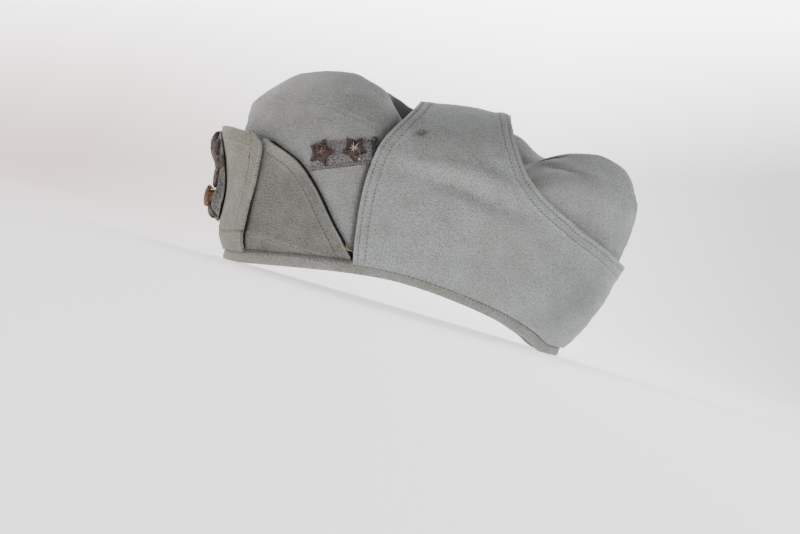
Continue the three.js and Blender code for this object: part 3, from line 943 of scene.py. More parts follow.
class Nodes:
    """A material's node tree, with short calls to add nodes and link them."""

    def __init__(self, name: str) -> None:
        """Makes a new material with an empty tree."""
        self.material = bpy.data.materials.new(name)
        self.material.use_nodes = True
        self.tree = self.material.node_tree
        self.tree.nodes.clear()

    def add(
        self, kind: str, settings: dict[str, object] | None = None, **inputs: object,
    ) -> bpy.types.Node:
        """Adds a node.

        Args:
            kind: the node type after "ShaderNode".
            settings: the node's own settings.
            inputs: values or sockets for its inputs, "in0" for the first and "Base_Color" by name.

        Returns:
            The node.
        """
        node = self.tree.nodes.new("ShaderNode" + kind)
        for name, value in (settings or {}).items():
            setattr(node, name, value)
        for name, value in inputs.items():
            numbered = name[:2] == "in" and name[2:].isdigit()
            socket = node.inputs[int(name[2:]) if numbered else name.replace("_", " ")]
            if isinstance(value, bpy.types.NodeSocket):
                self.tree.links.new(value, socket)
            else:
                socket.default_value = value
        return node

    def finish(self, **inputs: object) -> bpy.types.Material:
        """Adds the shader and the output, and returns the material."""
        shader = self.add("BsdfPrincipled", None, **inputs)
        self.add("OutputMaterial", None, Surface=shader.outputs[0])
        return self.material

    def math(self, operation: str, *values: object) -> bpy.types.NodeSocket:
        """Adds a Math node and returns its result."""
        inputs = {f"in{place}": value for place, value in enumerate(values)}
        return self.add("Math", {"operation": operation}, **inputs).outputs[0]

    def between(self, value: object, low: float, high: float, a: float, b: float) -> bpy.types.NodeSocket:
        """Maps a value's range low to high onto a to b, and holds it there."""
        node = self.add("MapRange", None, in0=value, in1=low, in2=high, in3=a, in4=b)
        return node.outputs[0]

    def patches(
        self, vector: object, scale: tuple[float, float, float], detail: float,
    ) -> bpy.types.NodeSocket:
        """Adds soft noise whose patches are 1 divided by the scale wide."""
        place = self.add("Mapping", None, Vector=vector, Scale=scale)
        node = self.add("TexNoise", None, Vector=place.outputs[0], Scale=1.0, Detail=detail)
        return node.outputs[0]

    def mix(self, share: object, a: object, b: object, kind: str = "MIX") -> bpy.types.NodeSocket:
        """Mixes two colours."""
        node = self.add("Mix", {"data_type": "RGBA", "blend_type": kind}, in0=share, in6=a, in7=b)
        return node.outputs[2]


Colour = tuple[float, float, float]


def paint(colour: Colour) -> tuple[float, float, float, float]:
    """A colour with full cover."""
    return (*colour, 1.0)


@dataclass(frozen=True)
class Twill:
    """Faded cotton twill with a heathered yarn: colours, and how strongly they vary. Its worn colour also
    paints light, and its soiled colour, darkened, paints shade.
    """

    name: str
    colour: Colour
    faded: Colour
    soiled: Colour
    worn: Colour
    yarn: float = 0.62
    rib: float = 1.5
    heather: float = 0.85
    fleck_scale: float = 1.1
    yarn_scale: tuple[float, float] = (1.9, 0.22)
    cloud_scale: float = 85.0
    fade_scale: float = 19.0
    fade_range: tuple[float, float] = (0.36, 0.64)
    cloud_range: tuple[float, float] = (0.4, 0.66)
    cloud_share: float = 0.75
    fleck_share: float = 2.0
    yarn_share: float = 0.7
    weave_share: float = 0.05
    lightening_range: tuple[float, float, float, float] = (0.35, 0.65, 0.35, 1.0)
    grime_shade: float = 0.07
    most_shade_and_grime: float = 0.95
    relief: tuple[float, float, float] = (0.3, 0.9, 1.2)
    bump: float = 0.00016
    roughness: float = 0.92
    sheen: float = 0.03
    gloss: float = 0.12

    def material(self) -> bpy.types.Material:
        """The finish as a material, made once.

        Returns:
            The material.
        """
        known = bpy.data.materials.get(self.name)
        if known:
            return known
        n = Nodes(self.name)
        cloth = n.add("UVMap").outputs[0]
        place = n.add("TexCoord").outputs["Object"]
        u, v = n.add("SeparateXYZ", None, Vector=cloth).outputs[:2]
        turn = 2 * math.pi / self.yarn
        warp = n.math("SINE", n.math("MULTIPLY", u, turn))
        weft = n.math("SINE", n.math("MULTIPLY", v, turn))
        rib = n.math("SINE", n.math("MULTIPLY", n.math("ADD", u, v), turn / self.rib))
        half_rib = n.math("MULTIPLY", rib, 0.5)
        weave = n.math("MULTIPLY_ADD", n.math("MULTIPLY", warp, weft), 0.5, half_rib)
        fine, long = self.yarn_scale
        fleck = n.patches(cloth, (self.fleck_scale, self.fleck_scale, 1.0), 2.0)
        warp_yarns = n.patches(cloth, (fine, long, 1.0), 1.0)
        weft_yarns = n.patches(cloth, (long, fine, 1.0), 1.0)
        clouds = n.patches(place, (self.cloud_scale,) * 3, 3.0)
        fade = n.patches(place, (self.fade_scale,) * 3, 2.0)
        faded = n.between(fade, *self.fade_range, 0.0, 1.0)
        clouded = n.between(clouds, *self.cloud_range, 0.0, self.cloud_share)
        tone = n.mix(faded, paint(self.colour), paint(self.faded))
        tone = n.mix(clouded, tone, paint(self.soiled))
        yarns = n.math("ADD", n.math("SUBTRACT", warp_yarns, 0.5), n.math("SUBTRACT", weft_yarns, 0.5))
        flecks = n.math("MULTIPLY", n.math("SUBTRACT", fleck, 0.5), self.fleck_share * self.heather)
        speck = n.math("MULTIPLY_ADD", yarns, self.yarn_share * self.heather, flecks)
        speck = n.math("MULTIPLY_ADD", weave, self.weave_share, speck)
        bright = n.math("ADD", speck, 1.0)
        grey = n.add("CombineColor", None, Red=bright, Green=bright, Blue=bright).outputs[0]
        tone = n.mix(1.0, tone, grey, "MULTIPLY")
        # Paler cloth: worn edges and ridges, and painted light on broad patches
        lightening = n.add("Attribute", {"attribute_name": "lightening"}).outputs["Fac"]
        lightening = n.math("MULTIPLY", lightening, n.between(fleck, *self.lightening_range))
        tone = n.mix(n.math("MINIMUM", lightening, 1.0), tone, paint(self.worn))
        # Darker cloth: painted shade in grooves, creases, gaps and under the flaps, with some grime
        grime = n.add("Attribute", {"attribute_name": "grime"}).outputs["Fac"]
        shade = tuple(self.grime_shade * part for part in self.soiled)
        tone = n.mix(n.math("MINIMUM", grime, self.most_shade_and_grime), tone, paint(shade))
        weave_rise, yarn_rise, fleck_rise = self.relief
        height = n.math("MULTIPLY_ADD", yarns, yarn_rise, n.math("MULTIPLY", fleck, fleck_rise))
        height = n.math("MULTIPLY_ADD", weave, weave_rise, height)
        bump = n.add("Bump", None, Strength=1.0, Distance=self.bump, Height=height)
        return n.finish(
            Base_Color=tone, Roughness=self.roughness, Sheen_Weight=self.sheen,
            Sheen_Roughness=0.5, Specular_IOR_Level=self.gloss, Normal=bump.outputs[0],
        )


@dataclass(frozen=True)
class Thread:
    """Twisted sewing or embroidery thread."""

    name: str
    colour: Colour
    other: Colour
    roughness: float = 0.75
    metallic: float = 0.0
    twist: float = 0.9
    fine_scale: float = 1400.0
    broad_scale: float = 260.0
    fine_share: float = 0.6
    tone_range: tuple[float, float] = (0.38, 0.62)
    bump: float = 0.00012
    sheen: float = 0.1

    def material(self) -> bpy.types.Material:
        """The finish as a material, made once.

        Returns:
            The material.
        """
        known = bpy.data.materials.get(self.name)
        if known:
            return known
        n = Nodes(self.name)
        place = n.add("TexCoord").outputs["Object"]
        fine = n.patches(place, (self.fine_scale,) * 3, 2.0)
        broad = n.patches(place, (self.broad_scale,) * 3, 2.0)
        broad = n.math("MULTIPLY", broad, 1 - self.fine_share)
        mixed = n.math("MULTIPLY_ADD", fine, self.fine_share, broad)
        mixed = n.between(mixed, *self.tone_range, 0.0, 1.0)
        tone = n.mix(mixed, paint(self.colour), paint(self.other))
        bump = n.add("Bump", None, Strength=self.twist, Distance=self.bump, Height=fine)
        return n.finish(
            Base_Color=tone, Roughness=self.roughness, Metallic=self.metallic,
            Sheen_Weight=self.sheen * (1 - self.metallic), Normal=bump.outputs[0],
        )


# Darker than the peak's cloth: partly the front flap's own tone, partly painted shade from the peak over
# it
FRONT_TWILL = Twill(
    "front_twill", (0.161, 0.163, 0.146), (0.187, 0.189, 0.176), (0.139, 0.139, 0.12), (0.36, 0.35, 0.32),
)
PEAK_TWILL = Twill(
    "peak_twill", (0.209, 0.211, 0.177), (0.232, 0.236, 0.206), (0.175, 0.173, 0.141), (0.4, 0.39, 0.355),
)
HEM_TWILL = Twill(
    "hem_twill", (0.24, 0.235, 0.218), (0.275, 0.27, 0.256), (0.205, 0.2, 0.182), (0.4, 0.39, 0.36),
)
CROWN_TWILL = Twill(
    "crown_twill", (0.272, 0.285, 0.272), (0.304, 0.321, 0.318), (0.235, 0.244, 0.223), (0.4, 0.4, 0.385),
)
FLAP_TWILL = Twill(
    "flap_twill", (0.287, 0.302, 0.293), (0.316, 0.335, 0.34), (0.253, 0.262, 0.24), (0.45, 0.45, 0.43),
)
STRIP_WOOL = Twill(
    "strip_wool", (0.165, 0.158, 0.161), (0.212, 0.199, 0.21), (0.108, 0.104, 0.102), (0.34, 0.33, 0.33),
    heather=1.7,
)
PATCH_WOOL = Twill(
    "patch_wool", (0.13, 0.132, 0.124), (0.17, 0.17, 0.16), (0.08, 0.08, 0.075), (0.3, 0.3, 0.28),
    heather=1.2,
)
GREY_THREAD = Thread("grey_thread", (0.3, 0.31, 0.29), (0.22, 0.225, 0.205))
KHAKI_THREAD = Thread("khaki_thread", (0.22, 0.205, 0.17), (0.15, 0.135, 0.11))
# Pale thread, also painting the glint of the rear star's metal threads
PALE_THREAD = Thread("pale_thread", (0.8, 0.76, 0.7), (0.5, 0.42, 0.37))
# Near-black thread that paints the shade in needle holes
HOLE_SHADE = Thread("hole_shade", (0.022, 0.021, 0.018), (0.05, 0.048, 0.042))
BADGE_THREAD = Thread("badge_thread", (0.035, 0.027, 0.024), (0.14, 0.11, 0.095))
BLACK_THREAD = Thread("black_thread", (0.012, 0.012, 0.013), (0.03, 0.028, 0.028))
WINE_THREAD = Thread("wine_thread", (0.013, 0.006, 0.006), (0.118, 0.062, 0.056), roughness=0.55)
STAR_PADDING = Thread("star_padding", (0.008, 0.004, 0.004), (0.02, 0.01, 0.009))
FADED_GLINT_THREAD = Thread("faded_glint_thread", (0.42, 0.28, 0.25), (0.24, 0.14, 0.12))
GILT_THREAD = Thread("gilt_thread", (0.42, 0.25, 0.13), (0.07, 0.035, 0.022), roughness=0.5, metallic=0.5)
GOLD_THREAD = Thread("gold_thread", (0.72, 0.6, 0.3), (0.45, 0.35, 0.15), roughness=0.45, metallic=0.4)


def dress(piece: bpy.types.Object, finish: Twill | Thread, slot: str, *nodes: str) -> bpy.types.Object:
    """Gives a finished piece its material and its body, and hides the solids that it stands for.

    Args:
        piece: the finished object.
        finish: what it is made of.
        slot: not used.
        nodes: names of the solids that it replaces.

    Returns:
        The same object.
    """
    piece.data.materials.clear()
    piece.data.materials.append(finish.material())
    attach(piece, BODY)
    if nodes:
        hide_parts(*nodes)
    LOG.info("%s: %d faces", piece.name, len(piece.data.polygons))
    return piece


def sew(
    name: str, cloth: Cloth, runs: list[tuple[Array, Array]], stitch: Stitch, thread: Thread,
    hole: float = 1.2,
) -> None:
    """Sews rows of stitches, with dark threads in their needle holes as painted shade.

    Args:
        name: name of the stitches.
        cloth: the cloth that is sewn.
        runs: directions and shares up along each row.
        stitch: the size of a stitch.
        thread: what it is sewn with.
        hole: width of the painted hole shade as a share of the thread.
    """
    for holes, finish, width in ((False, thread, 1.0), (True, HOLE_SHADE, hole)):
        paths = [path for turn, up in runs for path in cloth.sewn(turn, up, stitch, holes)]
        piece = threads(name + "_holes" * holes, paths, stitch.radius * width)
        dress(piece, finish, "cloth")


def above_hem(form: CapForm, surface: Place, turn: Array, height: float = 5.3) -> Array:
    """Shares up at which a surface is a height above the rim.

    Args:
        form: the cap's surfaces.
        surface: the surface.
        turn: the directions.
        height: the height, in millimetres.

    Returns:
        One share for each direction.
    """
    first_up, rounds, mm_per_up = 0.05, 5, 100
    up = np.full(np.shape(turn), first_up)
    for _ in range(rounds):
        points = surface(turn, up)
        up = up + (form.rim.at("height", points[:, 1]) + height - points[:, 2]) / mm_per_up
    return up


@dataclass
class Crown:
    """The crown: two side panels and the creased top."""

    form: CapForm
    finish: Twill = CROWN_TWILL
    seam: Binding = Binding(
        width=2.6, proud=0.2, rows=(), roll=0.16, dark=0.05, dark_width=0.9, pucker=0.18, period=7.5,
    )
    tucked: Binding = Binding(
        width=0.1, proud=0.0, rows=(), roll=1.1, roll_width=2.2, pucker=0.0,
    )
    # Its dark band is a painted shadow on the crown beside the neck flap's edge
    beside_flap: Binding = Binding(
        width=0.1, proud=0.0, rows=(), roll=1.5, roll_width=3.8, dark=0.5, dark_width=3.0, pucker=0.0,
    )
    flap_ups: tuple[float, float] = (0.1, 0.86)
    flap_start: tuple[float, float] = (74.0, 0.4)
    # Folds with a dark above 0 paint shade: the dark pocket under the neck flap's ends and the dark
    # creases beside its rear edge. Those below 0 paint light onto the crown's top and back.
    folds: tuple[Fold, ...] = (
        Fold(False, 80, 1.12, 0, 26, 40, 0.0, 2.3), Fold(True, 74, 1.24, 0, 18, 15, 0.0, 2.4),
        Fold(True, 34, 0.83, 4, 26, 3.5, 0.7), Fold(True, 150, 0.9, -6, 26, 4.5, 1.2),
        Fold(True, 124.5, 0.915, -23, 17, 2.4, 1.5, 0.34), Fold(True, 150, 0.8, 0, 26, 5, -1.0),
        Fold(True, 123.5, 1.0, -8, 11, 2.2, 1.4, 1.3), Fold(True, 119, 0.8, 0, 26, 13, -4.0),
        Fold(True, 126, 0.84, 0, 32, 17, 0.0, -0.6), Fold(True, 28, 1.0, 0, 62, 25, 0.0, -0.75),
        Fold(False, 28, 1.0, 0, 62, 25, 0.0, -0.75), Fold(False, 126, 0.84, 0, 32, 17, 0.0, -0.4),
    )
    rumple: Rumple = Rumple(height=1.4, across=36, upwards=22, seed=4.0)
    step: float = 1.8
    valley: float = 1.3
    line_width: float = 1.05
    line_dark: float = 0.97
    line_fade: float = 0.7
    tip_fade: float = 1.5
    just_below: tuple[float, float] = (0.014, 0.004)
    just_above: tuple[float, float] = (0.042, 0.03)
    rounding: float = 0.15

    def build(self) -> None:
        """Makes the three panels."""
        for side in Side:
            self.panel(side)
        self.top()

    def seam_line(self) -> Line:
        """The seam between the sides and the top."""
        turn = np.linspace(-180, 180, 721)
        return Line(self.form.crown(turn, self.form.top_seam.at("up", np.abs(turn))), self.seam)

    def upright_seam(self, turn: float) -> Line:
        """The seam at the centre of the front or the back."""
        up = np.linspace(0.03, self.form.top_seam.at("up", np.array([abs(turn)]))[0], 120)
        return Line(self.form.crown(np.full(len(up), turn), up), self.seam)

    def tucked_lines(self) -> list[Line]:
        """Where the front flap and the ends of the neck flap press on the crown, with a painted shadow
        beside the neck flap's edges.

        Returns:
            The flap's upper edge, and the neck flap's edge on each side.
        """
        lines = [Line(self.form.crown(*FrontFlap(self.form).top_edge()), self.tucked)]
        front = NeckFlap(self.form).outline()[0]
        low, high = self.flap_ups
        points = self.form.flap(*front)[(front[1] > low) & (front[1] < high)]
        turn, up = place_with(self.form.crown, 1, points[:, 1], points[:, 2], self.flap_start)
        for side in Side:
            lines.append(Line(self.form.crown(turn * side.value, up), self.beside_flap))
        return lines

    def cloth(self) -> Cloth:
        """The crown's cloth with its seams.

        Returns:
            The cloth.
        """
        lines = [self.seam_line(), self.upright_seam(0.0), self.upright_seam(180.0)]
        return Cloth(
            self.form.crown, lines + self.tucked_lines(), self.rumple, still_above=self.valley,
            folds=self.folds, shade=self.under_turnup,
        )

    def under_turnup(self, turn: Array, up: Array) -> Array:
        """Painted shadow: how dark the crown is painted under the front flap and just beyond its edge.

        Args:
            turn: directions.
            up: shares up.

        Returns:
            The darkness of each place.
        """
        edge = self.form.turnup_top
        turn = np.abs(turn)
        fall = edge.at("up", turn + TURN_STEP) - edge.at("up", turn - TURN_STEP)
        slope = fall * (MM_PER_UP / MM_PER_TURN)
        beyond = (up - edge.at("up", turn)) * MM_PER_UP / np.sqrt(1 + slope * slope)
        ends = ease((edge.keys[-1] + 1.0 - turn) / self.tip_fade)
        return self.line_dark * ease((self.line_width - beyond) / self.line_fade) * ends

    def panel(self, side: Side) -> None:
        """One side panel, from the rim to the top seam.

        Args:
            side: the side.
        """
        # Columns are closest beside the neck flap, and rows at the front flap's edge
        turn = np.concatenate([
            np.linspace(0, 64, 92)[:-1], np.linspace(64, 80, 42)[:-1], np.linspace(80, 180, 84),
        ])
        floor = above_hem(self.form, self.form.crown, turn)
        edge = self.form.turnup_top.at("up", turn)
        below = np.maximum(edge - self.just_below[0], floor + self.just_below[1])
        above = np.maximum(edge + self.just_above[0], floor + self.just_above[1])
        top = self.form.top_seam.at("up", turn)
        rows = [blend(floor, below, share) for share in np.linspace(0, 1, 26)[:-1]]
        rows += [blend(below, above, share) for share in np.linspace(0, 1, 17)[:-1]]
        rows += [blend(above, top, share) for share in spaced(64, 1.2, 0, 2)]
        up = np.stack(rows)
        if side is Side.RIGHT:
            turn, up = -turn[::-1], up[:, ::-1]
        name = f"crown_{side.name.lower()}_panel"
        piece = self.cloth().piece(name, np.broadcast_to(turn, up.shape), up)
        thickened(piece, CROWN_CLOTH, self.rounding)
        dress(piece, self.finish, "cloth", f"crown_side_{side.name.lower()}")

    def top(self) -> None:
        """The top, from its seam over the ridges down into the crease."""
        turn = np.linspace(-180, 180, 331)
        seam = self.form.top_seam.at("up", np.abs(turn))
        upwards = spaced(62, self.step, 4, 0)
        up = blend(seam[None, :], self.valley, upwards[:, None])
        piece = self.cloth().piece("crown_top_panel", np.broadcast_to(turn, up.shape), up)
        merged(piece, 0.03)
        thickened(piece, CROWN_CLOTH, self.rounding)
        dress(piece, self.finish, "cloth", "crown_top")


@dataclass
class Hem:
    """The turned and stitched hem that joins all layers along the rim."""

    form: CapForm
    finish: Twill = HEM_TWILL
    thread: Thread = GREY_THREAD
    outline: Outline = Outline(0.0, -102.4, 104.2, 6, 80.8, 2.2)
    stitch: Stitch = Stitch(length=1.6, pitch=2.6)
    seam_height: float = 4.6
    swell: Rumple = Rumple(height=0.4, across=9, upwards=9, seed=2.0)
    profile: tuple[tuple[float, float], ...] = (
        (0.5, 0.0), (0.72, 0.0), (0.86, 0.12), (0.955, 0.5), (1.0, 1.2), (1.02, 2.2), (1.02, 3.4),
        (1.01, 4.4), (0.99, 5.0), (0.93, 5.8), (0.88, 7.4), (0.5, 7.4), (0.03, 7.4), (0.0, 6.7),
        (0.0, 3.0), (0.0, 1.0), (0.06, 0.3), (0.2, 0.0), (0.5, 0.0),
    )
    outer_row: int = 6
    inner_row: int = 12

    def rings(self, turn: Array) -> tuple[Array, Array]:
        """The inner and outer edge of the hem, at the height of the rim.

        Args:
            turn: the directions.

        Returns:
            X and Y of the inner and of the outer edge.
        """
        x, y = self.outline.point(turn)
        inner_x, inner_y = self.form.crown_outlines[0].point(turn)
        across = np.stack([x - inner_x, y - inner_y], axis=1)
        inner = np.stack([inner_x, inner_y], axis=1) - unit(across) * CROWN_CLOTH
        return inner, np.stack([x, y], axis=1)

    def section(self, turn: Array, share: float, height: float) -> Array:
        """Points round the cap at a share across the hem and a height in it.

        Args:
            turn: the directions.
            share: 0 at the inner edge, 1 at the outer one.
            height: height over the rim.

        Returns:
            One point for each direction.
        """
        inner, outer = self.rings(turn)
        flat = blend(inner, outer, share)
        floor = self.form.rim.at("height", outer[:, 1])
        return np.column_stack([flat, floor + height])

    def build(self) -> None:
        """Makes the hem and its row of stitches."""
        self.roll()
        self.sewing()

    def roll(self) -> None:
        """The turned cloth, swept round the rim through its closed profile."""
        turn = np.linspace(-180, 180, 421)
        points = np.stack([self.section(turn, share, height) for share, height in self.profile])
        outer, inner = points[self.outer_row], points[self.inner_row]
        outwards = unit(outer - inner) * self.swell.at(outer)[:, None]
        rows = range(len(self.profile))
        for row in rows[3:10]:
            points[row] += outwards
        # The outer face is paler, and the top, under the flaps, is darkened as painted shade
        lightening = np.repeat([0.15 if 3 < row < 9 else 0.0 for row in rows], len(turn))
        grime = np.repeat([0.3 if 8 < row < 12 else 0.0 for row in rows], len(turn))
        piece = bent_grid("hem_roll", points, {"lightening": lightening, "grime": grime})
        merged(piece)
        smoothed(piece)
        dress(piece, self.finish, "cloth", "hem_band")

    def sewing(self) -> None:
        """The row of stitches round the sides and the back."""
        turn = np.linspace(60, 300, 1000)
        turn = np.where(turn > 180, turn - 360, turn)
        line = self.section(turn, 1.0, self.seam_height)
        out = np.column_stack([np.gradient(line[:, 1]), -np.gradient(line[:, 0]), 0 * turn])
        # Dark threads in the needle holes paint their shade
        for holes, finish in ((False, self.thread), (True, HOLE_SHADE)):
            paths = self.stitch.paths(line, unit(out), holes)
            dress(threads("hem_stitches" + "_holes" * holes, paths, self.stitch.radius), finish, "cloth")


@dataclass
class NeckFlap:
    """The neck flap, folded up round the back, its two ends meeting over the top."""

    form: CapForm
    finish: Twill = FLAP_TWILL
    thread: Thread = GREY_THREAD
    front_edge: Table = table(
        "up turn",
        (0.06, 75), (0.26, 73.2), (0.4, 72.2), (0.55, 71.8), (0.72, 72.6), (0.88, 75.2),
        (1.02, 77.1), (1.5, 77.1),
    )
    rear_edge: Table = table(
        "up turn",
        (0.73, 111.5), (0.8, 109), (0.89, 106.5), (1.02, 105.4), (1.5, 105.4),
    )
    back_edge: Table = table(
        "turn up",
        (111.5, 0.73), (117, 0.66), (123, 0.62), (129, 0.597), (138, 0.57), (148, 0.537),
        (161, 0.505), (179.9, 0.49),
    )
    end: float = 1.5
    border: Binding = Binding(width=7.6, proud=0.45, rows=(2.5, 6.8), groove=0.4, pucker=0.12)
    centre: Binding = Binding(width=2.4, proud=0.3, rows=(), roll=0.6, dark=0.3, pucker=0.15, period=7)
    rumple: Rumple = Rumple(height=1.2, across=34, upwards=15, seed=9.0)
    # The small fold at the darn darkens the darn; the broad one low at the back is painted shade
    folds: tuple[Fold, ...] = (
        Fold(True, 96, 0.565, -9, 34, 4.2, 1.5), Fold(True, 95, 0.65, -7, 30, 6.0, -1.3),
        Fold(True, 140, 0.2, 35, 30, 9, 1.2), Fold(False, 98, 0.55, -6, 30, 5, 1.3),
        Fold(True, 81.8, 0.819, 0, 2.4, 1.9, 1.1, 0.7), Fold(True, 148, 0.28, 0, 34, 24, 0.0, 0.34),
        Fold(True, 103.4, 1.14, 0, 4.5, 40, -1.4),
    )
    stitch: Stitch = Stitch()
    step: float = 1.7
    edge: float = 9.0
    low_height: float = 68.0
    high_height: float = 52.0
    end_width: float = 64.0
    back_length: float = 122.0
    rounding: float = 0.6

    def build(self) -> None:
        """Makes both halves and their stitches."""
        for side in Side:
            self.half(side)
            self.sewing(side)

    def outline(self) -> list[tuple[Array, Array]]:
        """The left half's edge in three runs: up the front, over the end, and down the back.

        Returns:
            Directions and shares up of each run.
        """
        up = np.linspace(0.06, self.end, 260)
        front = (self.front_edge.at("turn", up), up)
        turn = np.linspace(front[0][-1], self.rear_edge.columns["turn"][-1], 60)
        over = (turn, np.full(60, self.end))
        fall = np.linspace(self.end, self.rear_edge.keys[0], 120)[:-1]
        round_back = np.linspace(self.back_edge.keys[0], self.back_edge.keys[-1], 160)
        down = (
            np.concatenate([self.rear_edge.at("turn", fall), round_back]),
            np.concatenate([fall, self.back_edge.at("up", round_back)]),
        )
        return [front, over, down]

    def cloth(self, side: Side) -> Cloth:
        """One half's cloth with its border and the seam at the back.

        Args:
            side: the half's side.

        Returns:
            The cloth.
        """
        runs = self.outline()
        turn = np.concatenate([run[0] for run in runs]) * side.value
        up = np.concatenate([run[1] for run in runs])
        seam = np.linspace(0.03, self.back_edge.columns["up"][-1], 80)
        seam_turn = np.full(len(seam), self.back_edge.keys[-1] * side.value)
        lines = [
            Line(self.form.flap(turn, up), self.border),
            Line(self.form.flap(seam_turn, seam), self.centre),
        ]
        return Cloth(self.form.flap, lines, self.rumple, folds=self.folds, rim=self.form.rim)

    def half(self, side: Side) -> None:
        """One half of the flap: a low part all round and a high part at its end.

        Args:
            side: its side.
        """
        corner, corner_up = self.back_edge.keys[0], self.back_edge.columns["up"][0]
        low = spaced(self.low_height, self.step, 2, self.edge)
        high = spaced(self.high_height, self.step, 1, self.edge)[1:]
        ends = spaced(self.end_width, self.step, self.edge, self.edge)
        back = spaced(self.back_length, self.step, 1, 3)[1:]
        back_turn = blend(corner, self.back_edge.keys[-1], back)
        turn = np.full((len(low) + len(high), len(ends) + len(back)), back_turn[-1])
        up = np.full(turn.shape, corner_up)
        keep = np.ones(turn.shape, dtype=bool)
        floor = above_hem(self.form, self.form.flap, np.array([corner]))[0]
        low_up = blend(floor, corner_up, low)
        high_up = blend(corner_up, self.end, high)
        front_low, front_high = self.front_edge.at("turn", low_up), self.front_edge.at("turn", high_up)
        rear_high = self.rear_edge.at("turn", high_up)
        n, m = len(low), len(ends)
        turn[:n, :m] = blend(front_low[:, None], corner, ends[None, :])
        up[:n, :m] = low_up[:, None]
        turn[n:, :m] = blend(front_high[:, None], rear_high[:, None], ends[None, :])
        up[n:, :m] = high_up[:, None]
        back_floor = above_hem(self.form, self.form.flap, back_turn)
        back_top = self.back_edge.at("up", back_turn)
        turn[:n, m:] = back_turn[None, :]
        up[:n, m:] = blend(back_floor[None, :], back_top[None, :], low[:, None])
        keep[n:, m:] = False
        if side is Side.RIGHT:
            turn, up, keep = -turn[:, ::-1], up[:, ::-1], keep[:, ::-1]
        name = side.name.lower()
        piece = self.cloth(side).piece(f"neck_flap_{name}_cloth", turn, up, keep)
        thickened(piece, FLAP_CLOTH, self.rounding)
        dress(piece, self.finish, "cloth", f"neck_flap_{name}")

    def sewing(self, side: Side) -> None:
        """Two rows of stitches along the edge.

        Args:
            side: the half's side.
        """
        runs = []
        for row in self.border.rows:
            for run in self.outline():
                turn, up = inset(self.form.flap, *run, -row)
                runs += pieces(turn * side.value, up, self._inside(turn, up, row))
        sew(f"neck_flap_{side.name.lower()}_stitches", self.cloth(side), runs, self.stitch, self.thread)

    def _inside(self, turn: Array, up: Array, row: float) -> Array:
        """Which places of a stitch row lie inside the row's own border.

        Args:
            turn: directions.
            up: shares up.
            row: the row's distance from the edge.

        Returns:
            True where they do.
        """
        lowest, slack = 0.05, 0.15
        points = self.form.flap(turn, up)
        fits = up > lowest
        for run in self.outline():
            distance, _ = Line(self.form.flap(*run), self.border).near(points)
            fits &= distance > row - slack
        return fits


